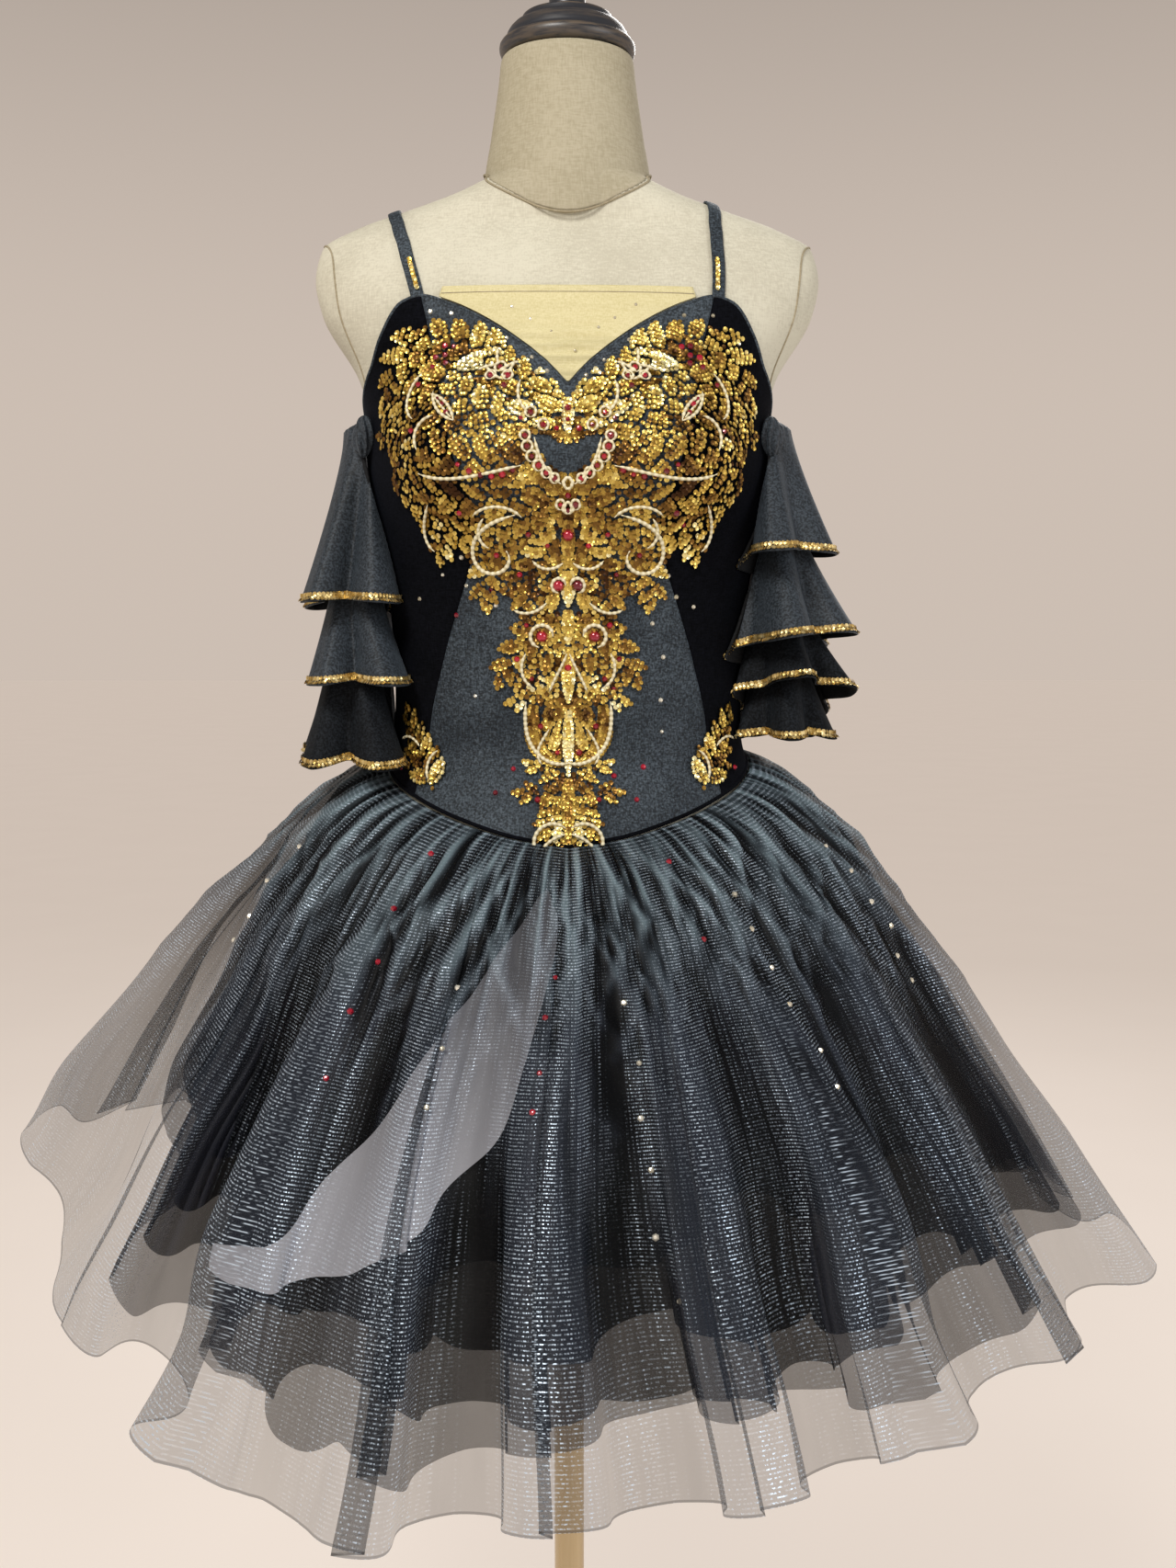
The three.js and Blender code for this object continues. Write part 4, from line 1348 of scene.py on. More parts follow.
    def straps(self) -> None:
        """The straps, slightly crowned, with a short gold bar on each."""
        for side in ("left", "right"):
            path = self.strap_route(side)
            out = BODY.away(path)[1]
            across = unit(np.cross(unit(np.gradient(path, axis=0)), out))
            share = np.linspace(1, -1, 9)
            crown = -0.5 * share**4
            grid = (path[:, None] + across[:, None] * (share * self.strap_width / 2)[None, :, None]
                    + out[:, None] * crown[None, :, None])
            surface = shell_surface(grid, self.strap_thickness - 0.4)
            piece = self.piece(f"strap_{side}_jersey", surface, self.finish.jersey, Slot.JERSEY, [f"strap_{side}"])
            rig.sheet(piece, flat=(0.0105, 0.36), held="stretched", rests_on=["form_torso_cover"])
            bar = path[14:28] + out[14:28] * 1.3 + across[14:28] * (1.4 if side == "left" else -1.4)
            bar = np.stack([np.interp(np.linspace(0, 13, 26), np.arange(14), bar[:, k]) for k in range(3)], axis=-1)
            rng = np.random.default_rng(17)
            count = len(bar)
            shape, faces = sequin_shape()
            beads = scatter(shape, faces, bar, unit(BODY.away(bar)[1] + rng.normal(0, 0.2, (count, 3))),
                            np.full(count, 1.75), rng.uniform(0, 6, count), rng.uniform(0.6, 1.0, count))
            self.piece(f"strap_{side}_bar", beads, self.finish.sequin, Slot.SEQUINS, flat_shaded=True)

    def build(self) -> None:
        """Makes the bodice's pieces."""
        self.panels()
        self.insert()
        self.bindings()
        self.straps()


# ---- the appliques


@dataclass(frozen=True)
class Stroke:
    """One leaf or cord: an arc whose bend changes evenly, on the flattened bodice."""

    s: float
    z: float
    heading: float
    length: float
    bend_start: float
    bend_end: float
    width: float

    def line(self, count: int) -> tuple[Array, Array, Array]:
        """The middle line.

        Args:
            count: how many points.

        Returns:
            Places across and up, and headings in radians.
        """
        t = np.linspace(0, 1, count)
        bend = self.bend_start * t + (self.bend_end - self.bend_start) * t * t / 2
        angle = np.radians(self.heading + bend * self.length / 10)
        step = self.length / (count - 1)
        s, z = (start + np.concatenate(([0], np.cumsum((way[1:] + way[:-1]) / 2 * step)))
                for start, way in ((self.s, np.cos(angle)), (self.z, np.sin(angle))))
        return s, z, angle


def strokes(*rows: tuple[float, ...]) -> tuple[Stroke, ...]:
    """Strokes from rows of place, heading, length, two bends in degrees for each 10 mm, and width."""
    return tuple(Stroke(*row) for row in rows)


@dataclass(frozen=True)
class Spray:
    """A curving stem with leaves on both sides that shorten towards its tip."""

    s: float
    z: float
    heading: float
    length: float
    bend_start: float
    bend_end: float
    leaf: float
    pairs: int

    def leaves(self) -> list[Stroke]:
        """The spray's strokes.

        Returns:
            The leaves on its sides, the leaf at its tip and the stem.
        """
        stem = Stroke(self.s, self.z, self.heading, self.length, self.bend_start, self.bend_end, self.leaf * 0.2)
        s, z, angle = stem.line(60)
        made = []
        for pair in range(self.pairs):
            for side in (1, -1):
                t = (pair + 0.45 + 0.25 * (side < 0)) / self.pairs
                k = min(59, int(t * 60))
                size = self.leaf * (1.25 - 0.5 * t)
                heading = math.degrees(angle[k]) + side * (58 - 14 * t)
                bend = -side * (3 + 5 * ((pair + (side > 0)) % 2))
                made.append(Stroke(s[k], z[k], heading, size, bend, bend * 2.2, size * 0.64))
        heading = math.degrees(angle[-1])
        made.append(Stroke(s[-1], z[-1], heading, self.leaf * 0.8, 2, -4, self.leaf * 0.55))
        made.append(stem)
        return made


def sprays(*rows: tuple[float, ...]) -> tuple[Spray, ...]:
    """Sprays from rows of place, heading, length, two bends in degrees for each 10 mm, leaf length and pairs."""
    return tuple(Spray(*row) for row in rows)


@dataclass
class Applique(Part):
    """The sequinned appliques, mirrored about the centre front.

    They are laid out on the flattened bodice: s millimetres across from the centre front, and z up.
    """

    across: Table = Table(
        "z k", (960, 1.92), (1000, 1.78), (1040, 1.7), (1100, 1.76), (1130, 1.86), (1180, 2.08), (1240, 2.2),
    )
    hip_across: float = 2.1
    base: float = 5.4
    pitch: float = 2.5
    sequin: float = 1.85
    bust_outline: Table = Table(
        "turn top bottom", (0, 1275, 1136), (10, 1291, 1132), (20, 1309, 1134), (32, 1322, 1150), (42, 1334, 1188),
        (50, 1335, 1200), (56, 1318, 1230), (60, 1300, 1262),
    )
    stem_outline: Table = Table(
        "z half", (962, 17), (990, 27), (1003, 14), (1022, 29), (1046, 28), (1062, 22), (1074, 42), (1092, 42),
        (1128, 34),
    )
    bust_sprays: tuple[Spray, ...] = sprays(
        (9, 1262, 44, 58, 0, -3, 16, 4), (54, 1297, 34, 56, -1, -9, 19, 4), (103, 1321, -28, 40, -10, -16, 18, 3),
        (24, 1250, 16, 62, 3, 8, 17, 4), (84, 1290, -14, 42, -8, -20, 17, 3), (56, 1264, -6, 58, 4, 9, 16, 4),
        (27, 1232, -2, 74, 2, 8, 17, 5), (126, 1288, -98, 48, -4, -9, 16, 4), (36, 1212, -12, 68, 5, 8, 17, 5),
        (112, 1236, -112, 46, -4, 8, 16, 4), (72, 1210, -58, 40, 3, -14, 15, 3), (12, 1208, -30, 54, 5, -8, 16, 4),
        (40, 1190, -48, 54, -2, -18, 16, 4), (9, 1188, -64, 50, 6, 5, 15, 4), (22, 1172, -66, 40, 0, -14, 14, 3),
        (96, 1262, -30, 34, 6, 14, 14, 3), (56, 1180, -66, 34, -4, -20, 13, 3),
    )
    stem_sprays: tuple[Spray, ...] = sprays(
        (5, 1148, -26, 30, -6, -12, 13, 3), (8, 1128, -34, 56, -3, -9, 16, 4), (7, 1106, -28, 40, -2, -8, 14, 3),
        (5, 1086, -42, 36, 4, 9, 12, 3), (4, 1012, 10, 22, 4, 9, 10, 2), (4, 1002, -14, 26, 3, 10, 12, 2),
        (4, 990, -44, 22, -4, -8, 11, 2),
    )
    single_leaves: tuple[Stroke, ...] = strokes(
        (25, 1062, -80, 54, -5, -30, 12), (4, 1054, -70, 34, -2, 5, 7), (12, 1050, -84, 30, -2, -6, 8),
        (12, 1066, 60, 16, -10, -20, 7), (20, 1064, 84, 14, 10, 20, 6), (4, 980, -70, 15, 0, 4, 7),
        (11, 1050, -30, 14, -10, -20, 5), (7, 1266, 14, 19, 4, 10, 11), (15, 1278, 30, 17, -4, -12, 10),
        (26, 1264, 8, 18, 3, 9, 11), (12, 1256, -8, 16, 6, 12, 9), (30, 1252, -20, 17, 6, 12, 10),
        (36, 1276, 26, 18, 4, 12, 11),
    )
    spine: tuple[Stroke, ...] = strokes(
        (0, 1192, -90, 30, 0, 0, 10), (0, 1160, -90, 26, 0, 0, 11), (0, 1132, -90, 24, 0, 0, 9),
        (0, 1106, -90, 40, 0, 0, 10), (0, 1058, -90, 46, 0, 0, 8), (0, 1008, -90, 42, 0, 0, 10),
        (0, 1272, -90, 22, 0, 0, 9),
    )
    hip_sprays: tuple[Spray, ...] = sprays((109, 1000, 60, 58, 0, 1, 15, 5), (120, 1010, 34, 24, 8, 14, 10, 2))
    cords: tuple[Stroke, ...] = strokes(
        # the heart's double edge and the small flower under it
        (25, 1246, -102, 36, -8, -22, 0.9), (2, 1215, 30, 22, 160, 160, 0.9),
        (3, 1205, -40, 22, -160, -160, 0.9),
        # the flowers and the leaf near the neckline
        (49, 1284, 128, 16, -20, -20, 0.9), (40, 1297, -14, 15, -24, -24, 0.9), (54, 1296, 60, 12, 30, 30, 0.9),
        (49, 1284, 20, 18, 22, 22, 0.9), (66, 1291, 150, 12, 20, 20, 0.9), (72, 1256, 72, 30, -19, -19, 0.95),
        (72, 1256, 20, 30, 19, 19, 0.95), (74, 1258, 46, 22, 0, 0, 0.7), (30, 1262, 40, 24, 26, 30, 0.9),
        # the long scrolls
        (33, 1229, -12, 62, -3, 15, 1.0), (94, 1240, 60, 26, 30, 60, 0.9),
        (38, 1198, -14, 88, -3, -64, 1.15), (34, 1196, 50, 34, -26, -30, 0.9), (92, 1206, -60, 36, 3, -50, 0.9),
        (58, 1196, -50, 24, -20, -70, 0.9), (104, 1292, -60, 36, -10, -40, 0.85),
        # round the dark red stones
        (11, 1112, 92, 36, -72, -72, 1.1), (2, 1148, 92, 24, -112, -112, 1.0), (16, 1136, -50, 26, 24, 40, 0.9),
        (4, 1164, -40, 26, 30, 44, 0.9), (30, 1100, -60, 28, -24, -44, 0.9),
        # the lyre and the bow
        (30, 1066, -84, 68, -2, -34, 1.15), (14, 1046, -60, 30, 10, -60, 0.8), (2, 974, 38, 42, -38, -50, 1.1),
        (2, 970, -12, 32, -16, -34, 1.0), (1, 1100, -70, 30, 10, -10, 0.8),
        # the hips
        (113, 1006, 60, 24, 24, 50, 0.85), (126, 1030, 58, 22, -30, -60, 0.8),
    )
    beads: Table = Table(
        "s z", (0, 1266), (0, 1258), (9, 1252), (44, 1223.5), (50, 1222.5), (38, 1226), (47, 1280), (56, 1223.5),
        (62, 1226), (68, 1230), (78, 1262), (82, 1268), (86, 1272), (0, 1210), (0, 1200), (92, 1304), (88, 1310),
        (94, 1311), (98, 1303), (90, 1298), (34, 1258), (98, 1296), (104, 1284), (100, 1252), (72, 1200), (52, 1170),
        (30, 1184), (36, 1156), (16, 1176), (30, 1120), (36, 1096), (26, 1082), (0, 1090), (20, 1048), (8, 1028),
        (116, 1012), (130, 1040), (22, 994),
    )
    looped: Table = Table(
        "s z r", (31, 1247, 2.9), (29.5, 1240.5, 3.1), (26.5, 1234.5, 3.2), (22, 1229, 3.2), (16.5, 1224.5, 3.2),
        (10.5, 1221, 3.0), (46, 1287, 3.2), (52, 1293, 3.4), (57, 1287, 3.0), (28, 1262, 3.4), (6, 1204, 3.2),
        (19, 1254, 3.4),
    )
    cabochons: Table = Table("s z", (19, 1112), (7.5, 1148), (0, 1183))
    bib_low: float = 1223
    bib_high: float = 1247
    bib_half: float = 25
    seed: int = 41
    bust_foot: float = 1131
    hip_turn: float = 46
    hip_s: float = 105
    hip_top: float = 1100
    cell: float = 5

    def __post_init__(self) -> None:
        """Works out the curves of the layout."""
        self.across_at = self.across.curve("z", "k")

    def turn(self, s: Array, z: Array) -> Array:
        """The turn of places on the flattened bodice."""
        return np.asarray(s) / self.across_at(np.asarray(z))

    def place(self, s: Array, z: Array, off: Array | float) -> Array:
        """Points over the flattened bodice."""
        return BODY.point(self.turn(s, z), z, off)

    def in_bib(self, s: float, z: float, spare: float) -> bool:
        """Whether a place lies in the bare heart at the middle of the bust."""
        share = min(max((z - self.bib_low) / (self.bib_high - self.bib_low), 0), 1)
        notch = self.bib_high - 8 * math.exp(-((s / 8) ** 2))
        inside = abs(s) < self.bib_half * math.sqrt(share) + spare
        return inside and self.bib_low - spare < z < notch + spare

    def leaf_sequins(self, leaf: Stroke, tone: float, rng: np.random.Generator) -> Array:
        """One leaf's sequins in rows.

        Args:
            leaf: the leaf.
            tone: its middle shade.
            rng: where its variation comes from.

        Returns:
            Across, up, lift and shade of each.
        """
        count = max(4, round(leaf.length / self.pitch))
        s, z, angle = leaf.line(count)
        t = np.linspace(0, 1, count)
        half = leaf.width / 2 * np.sin(np.pi * np.clip(t * 0.84 + 0.13, 0, 1)) ** 0.7
        tone = tone + rng.normal(0, 0.16)
        rows = []
        for k in range(count):
            number = max(1, round(2 * half[k] / self.pitch))
            for share in (np.arange(number) + 0.5) / number * 2 - 1:
                w = share * half[k]
                lift = 2.2 * (1 - share**2) * min(1, half[k] / 4) + rng.uniform(-0.2, 0.3)
                shade = tone + 0.22 * t[k] - 0.18 * (abs(share) < 0.35) + rng.normal(0, 0.1)
                rows.append((s[k] - w * math.sin(angle[k]), z[k] + w * math.cos(angle[k]), lift, shade))
        return np.array(rows)

    def ground_sequins(self, rng: np.random.Generator) -> Array:
        """Low bronze sequins that show between the leaves.

        Args:
            rng: where their variation comes from.

        Returns:
            Across, up, lift and shade of each.
        """
        s, z = np.meshgrid(np.arange(0, 134, 2.6), np.arange(964, 1338, 2.4))
        s = s + np.where(np.round(z / 2.4) % 2 > 0, 1.3, 0)
        s, z = (s + rng.normal(0, 0.25, s.shape)).ravel(), (z + rng.normal(0, 0.25, z.shape)).ravel()
        turn = self.turn(s, z)
        ragged = 3.5 * smooth_noise(turn / 2.4 + z / 9, 21)
        top, foot = (self.bust_outline.curve("turn", name)(turn) for name in ("top", "bottom"))
        bust = (z < top - 4 + ragged) & (z > foot + 6 + ragged) & (turn < 58 + ragged * 0.5) & (z > self.bust_foot)
        stem = (z <= self.bust_foot) & (s < self.stem_outline.curve("z", "half")(z) - 5 + ragged)
        patchy = cloth_noise(s / 8, z / 8, 25) > -0.62
        keep = (bust | stem) & patchy & (rng.uniform(size=s.shape) < 0.94)
        lift = rng.uniform(-0.9, -0.3, s.shape)
        shade = 0.36 + 0.42 * cloth_noise(s / 12, z / 12, 23) + rng.normal(0, 0.12, s.shape)
        return stacked(s, z, lift, shade)[keep]

    def sequins(self) -> Array:
        """Every sequin, with a bare line round each leaf.

        Returns:
            Across, up, lift and shade of each.
        """
        rng = np.random.default_rng(self.seed)
        kept: list[tuple[float, ...]] = []
        cells: dict[tuple[int, int], list[tuple[float, float]]] = {}

        def roomy(s: float, z: float, apart: float) -> bool:
            """Whether no kept sequin lies nearer than this."""
            i, j = int(s // self.cell), int(z // self.cell)
            near = (p for a in (-1, 0, 1) for b in (-1, 0, 1) for p in cells.get((i + a, j + b), ()))
            return all((p[0] - s) ** 2 + (p[1] - z) ** 2 > apart**2 for p in near)

        def keep(rows: Array, apart: float, sides: Sequence[int] = (-1, 1)) -> None:
            """Keeps the sequins that have room.

            Args:
                rows: new sequins.
                apart: the least distance between two.
                sides: the sides they go on.
            """
            both = [(side * s, z, lift, shade) for s, z, lift, shade in rows for side in sides
                    if side * side * s >= -1 or len(sides) == 1]
            fresh = [row for row in both if not self.in_bib(row[0], row[1], 1.2) and roomy(row[0], row[1], apart)]
            for row in fresh:
                kept.append(row)
                cells.setdefault((int(row[0] // self.cell), int(row[1] // self.cell)), []).append(row[:2])

        def hip(rows: Array) -> Array:
            """The rows, with their places across fitted to the hips' girth."""
            rows[:, 0] *= self.across_at(rows[:, 1]) / self.hip_across
            return rows

        for leaf in self.spine:
            keep(self.leaf_sequins(leaf, 0.62, rng), 3.4, (1,))
        for leaf in self.single_leaves:
            keep(self.leaf_sequins(leaf, 0.6, rng), 3.4)
        for spray in (*self.bust_sprays, *self.stem_sprays):
            tone = rng.uniform(0.26, 0.66)
            for leaf in spray.leaves():
                keep(self.leaf_sequins(leaf, tone, rng), 3.2)
        for spray in self.hip_sprays:
            for leaf in spray.leaves():
                keep(hip(self.leaf_sequins(leaf, 0.42, rng)), 2.6)
        keep(self.ground_sequins(rng), 2.4)
        return np.array(kept)

    def cord_surface(self, stroke: Stroke, side: int) -> Surface:
        """One couched cord, laid over the sequins.

        Args:
            stroke: its course.
            side: -1 for left, 1 for right.

        Returns:
            The surface.
        """
        count = max(14, int(stroke.length / 0.9))
        s, z, _ = stroke.line(count)
        if stroke.s > self.hip_s and stroke.z < self.hip_top:
            s = s * self.across_at(z) / self.hip_across
        t = np.linspace(0, 1, count)
        ends = np.clip(np.minimum(t, 1 - t) * 9, 0.3, 1)
        twist = 1 + 0.14 * np.sin(t * stroke.length / 0.6)
        path = self.place(side * s, z, self.base + 2.7)
        made = tube_surface(path, stroke.width * 1.2 * ends * twist)
        tone = 0.6 + 0.4 * np.sin(t * stroke.length / 0.6)
        made.shade = np.concatenate((np.repeat(tone, 6), [0.5, 0.5]))
        return made

    def stones(self, rows: Array, size: float, spread: float = 0.0) -> Surface:
        """Faceted stones.

        Args:
            rows: places across, up and off the form.
            size: the stones' radius.
            spread: how much it varies.

        Returns:
            The surface.
        """
        rng = np.random.default_rng(self.seed + 5)
        places = self.place(rows[:, 0], rows[:, 1], rows[:, 2])
        normals = BODY.normal(self.turn(rows[:, 0], rows[:, 1]), rows[:, 1])
        count = len(rows)
        sizes = size * (1 + rng.uniform(-spread, spread, count))
        return scatter(*stone_shape(8), places, normals, sizes, rng.uniform(0, 6, count), rng.uniform(0, 1, count))

    def mirrored(self, table: Table, off: float) -> Array:
        """The table's places on both sides, and off the form."""
        return np.array([(side * s, z, off) for s, z in table for side in ((1,) if s == 0 else (-1, 1))])

    def build(self) -> None:
        """Makes the appliques, their cords and their stones."""
        rows = self.sequins()
        rng = np.random.default_rng(self.seed + 1)
        places = self.place(rows[:, 0], rows[:, 1], self.base + rows[:, 2] * 0.9)
        normals = BODY.normal(self.turn(rows[:, 0], rows[:, 1]), rows[:, 1])
        tilted = unit(normals + rng.normal(0, 0.13, normals.shape))
        bust = rows[:, 1] > self.bust_foot
        hip = np.abs(self.turn(rows[:, 0], rows[:, 1])) > self.hip_turn
        groups = {
            "applique_bust": bust,
            "applique_stem": ~bust & ~hip,
            "applique_hip_left": ~bust & hip & (rows[:, 0] < 0),
            "applique_hip_right": ~bust & hip & (rows[:, 0] > 0),
        }
        for name, chosen in groups.items():
            count = int(chosen.sum())
            size = self.sequin * rng.uniform(0.88, 1.12, count)
            surface = scatter(*sequin_shape(), places[chosen], tilted[chosen], size, rng.uniform(0, 6, count),
                              np.clip(rows[chosen, 3], 0, 1))
            self.piece(f"{name}_sequins", surface, self.finish.sequin, Slot.SEQUINS, [name], flat_shaded=True)
            LOG.info("%s: %d sequins", name, count)
        cord = None
        loops = [Stroke(s, z - r, 0, 6.6 * r, 545 / r, 545 / r, 0.8) for s, z, r in self.looped]
        for stroke in (*self.cords, *loops):
            for side in (-1, 1):
                made = self.cord_surface(stroke, side)
                cord = made if cord is None else cord.joined(made)
        self.piece("applique_cords", cord, self.finish.cord, Slot.CORD)
        ringed = np.array(list(self.looped))[:, :2]
        beads = np.concatenate((self.mirrored(self.beads, self.base + 2.6), self.mirrored(ringed, self.base + 2.6)))
        beads = self.stones(beads, 2.1, 0.2)
        self.piece("applique_red_stones", beads, self.finish.red, Slot.RED, flat_shaded=True)
        large = self.stones(self.mirrored(self.cabochons, self.base + 2.0), 4.6)
        self.piece("applique_cabochons", large, self.finish.red, Slot.RED)


@dataclass
class BodiceStones(Part):
    """The single stones strewn over the bodice and the insert."""

    applique: Applique
    face: float
    pale: Table = Table(
        "turn z", (-38, 1168), (-46, 1156), (-38, 1148), (-57, 1139), (-28, 1134), (-38, 1069), (37, 1155),
        (41, 1140), (48, 1133), (33, 1121), (38, 1097), (27, 1095), (38, 1066), (39, 1043), (-50, 1338), (-56, 1316),
        (52, 1336), (58, 1318), (-34, 1326), (-24, 1317), (-14, 1303), (-8, 1293), (14, 1301), (24, 1316), (33, 1325),
        (44, 1335), (-44, 1336), (7, 1290),
    )
    red: Table = Table(
        "turn z", (-29, 1145), (-43, 1127), (-21, 1075), (19, 1075), (18, 1043), (-23, 1016), (-29, 999), (19, 1011),
        (27, 994), (31, 1017), (38, 1191),
    )
    insert: Table = Table(
        "turn z", (-24, 1340), (-16, 1331), (-7, 1322), (3, 1308), (13, 1325), (20, 1332), (29, 1342),
    )
    back: Table = Table(
        "turn z", (112, 1228), (128, 1196), (146, 1164), (120, 1142), (158, 1212), (136, 1092), (166, 1120),
        (150, 1060), (-112, 1220), (-130, 1188), (-150, 1160), (-122, 1130), (-160, 1204), (-138, 1086), (-164, 1110),
        (-148, 1056),
    )

    def build(self) -> None:
        """Makes the stones."""

        def rows(table: Table, off: float) -> Array:
            """The table's places on the flattened bodice, and off the form."""
            return np.array([(turn * float(self.applique.across_at(z)), z, off) for turn, z in table])

        stones = self.applique.stones
        pale = stones(np.concatenate((rows(self.pale, self.face), rows(self.back, self.face))), 1.7, 0.15)
        self.piece("bodice_pale_stones", pale, self.finish.pale, Slot.PALE, flat_shaded=True)
        red = stones(rows(self.red, self.face), 2.1, 0.1)
        self.piece("bodice_red_stones", red, self.finish.red, Slot.RED, flat_shaded=True)
        insert = stones(rows(self.insert, self.face - 0.2), 1.3)
        self.piece("insert_stones", insert, self.finish.pale, Slot.PALE, flat_shaded=True)


# ---- the sleeves


@dataclass(frozen=True)
class Flounce:
    """One flounce: where its top seam and its hem are, and the hem's level oval."""

    top: float
    hem: float
    x: float
    y: float
    half_x: float
    half_y: float
    slope_x: float
    slope_y: float


@dataclass
class Sleeve(Part):
    """A sleeve that hangs limp from the armhole: a base tube and flounces sewn one below the other."""

    name: str
    side: int
    valley: float
    depth: float
    flounces: list[Flounce]
    face: float
    base: Table = Table("z x y halfX halfY", (1100, 163, -8, 17, 36), (1180, 160, -4, 14, 38), (1266, 158, 2, 10, 44))
    base_top: float = 1261
    clearance: float = 2.4
    taper: float = 3
    knot_turn: float = 71
    knot_height: float = 1256
    knot: Triple = (12, 6.5, 15)
    ease: float = 2.2
    lobes: int = 5
    # the first flounce, counted from the top, that takes the crepe with painted shade
    first_black: int = 3
    wrap: float = 0.34
    cloth: float = 1.0
    columns: int = 200

    def oval(self, z: Array, turn: Array, extra: float) -> Array:
        """The base tube's level oval."""
        x, y, half_x, half_y = (self.base.curve("z", name)(z) for name in ("x", "y", "halfX", "halfY"))
        forward = 10 * np.clip(np.cos(turn), 0, 1) ** 2 * np.clip((z - 1160) / 100, 0, 1)
        across = self.side * (x - forward) + (half_x + extra) * np.sin(turn)
        return stacked(across, y - (half_y + extra) * np.cos(turn), z)

    def flounce_points(self, flounce: Flounce, turn: Array, down: Array) -> Array:
        """Points on a flounce.

        Args:
            flounce: the flounce.
            turn: angles round the sleeve.
            down: shares of the way down.

        Returns:
            The points.
        """
        top = self.oval(np.full_like(down, flounce.top), turn, self.ease)
        pinch = (0.5 + 0.5 * np.cos(self.lobes * (turn - self.valley))) ** 1.5
        ripple = 0.02 * np.sin(8 * turn + flounce.x) + 0.012 * np.sin(13 * turn + flounce.hem)
        lobe = 1 - (self.depth + 0.18) * pinch + ripple
        inner = 1 + self.wrap * np.clip(-self.side * np.sin(turn), 0, 1) * np.clip(0.4 + np.cos(turn), 0, 1)
        x = flounce.x + flounce.half_x * lobe * inner * np.sin(turn)
        y = flounce.y - flounce.half_y * lobe * np.cos(turn)
        z = flounce.hem + flounce.slope_x * (x - flounce.x) + flounce.slope_y * (y - flounce.y) + 3.5 * pinch - 1.5
        share = down**1.2
        gather = 1 + 0.04 * np.sin(22 * turn) * np.exp(-down * 12)
        points = stacked(mix(top[..., 0], x, share), mix(top[..., 1], y, share) * gather, mix(top[..., 2], z, down))
        return BODY.kept_clear(points, self.face + self.clearance + self.taper * (1 - down))

    def roof(self, flounce: Flounce, turn: Array) -> Array:
        """Closes the upper flounce over the armhole.

        Args:
            flounce: the upper flounce.
            turn: angles round the sleeve.

        Returns:
            Rings in small gathers.
        """
        rim = self.oval(np.array([[flounce.top]]), turn, self.ease)
        middle = rim.mean(axis=1, keepdims=True)
        rings = []
        for share in (0.08, 0.35, 0.6, 0.8, 0.93):
            ring = middle + (rim - middle) * np.array([share, 0.75 + 0.25 * share, 1])
            ring[..., 2] += 5 * (1 - share**2) + 0.7 * np.sin(26 * turn) * share
            rings.append(BODY.kept_clear(ring, self.face + self.clearance + self.taper))
        return np.concatenate(rings)

    def knot_surface(self) -> Surface:
        """The twisted knot of cloth at the front of the armhole.

        Returns:
            The surface.
        """
        wide, deep, tall = self.knot
        at = BODY.point(np.array(self.side * self.knot_turn), np.array(self.knot_height), self.face + deep - 1)
        out = BODY.away(at[None, :])[1][0] * np.array([1, 1, 0])
        out = out / np.linalg.norm(out)
        across = np.cross([0, 0, 1], out) * self.side
        up = np.linspace(0.985, -0.985, 30)[:, None]
        round_it = circle(84)[None, :]
        twist = 0.15 * np.sin(7 * round_it + 3.2 * up) + 0.07 * np.sin(4 * up + 2 * round_it)
        ring = np.sqrt(1 - up**2) * (1 + twist)
        sideways = across * (ring * np.cos(round_it) * wide - 3 * up)[..., None]
        outwards = out * (ring * np.sin(round_it) * deep)[..., None]
        upwards = np.array([0.0, 0, 1]) * (up * tall + 0 * round_it)[..., None]
        return capped(at + sideways + outwards + upwards)

    def base_surface(self) -> Surface:
        """The base tube.

        Returns:
            The surface.
        """
        turn = circle(120)[None, :]
        z = np.linspace(self.base_top, self.flounces[-1].top - 6, 40)[:, None]
        gather = 1.1 * np.sin(34 * turn) * np.exp(-(self.base_top - z) / 26)
        points = BODY.kept_clear(self.oval(z, turn, 0), self.face + self.clearance + self.taper + self.ease)
        points = points - grid_normals(points, True) * gather[..., None] * self.side
        return shell_surface(self.outwards(points), self.cloth, True)

    def outwards(self, grid: Array) -> Array:
        """The grid with its rows run so that its faces look outwards."""
        middle = grid.mean(axis=(0, 1))
        facing = np.sum(grid_normals(grid, True) * (grid - middle) * np.array([1, 1, 0]), axis=-1).mean()
        return grid if facing > 0 else grid[:, ::-1]

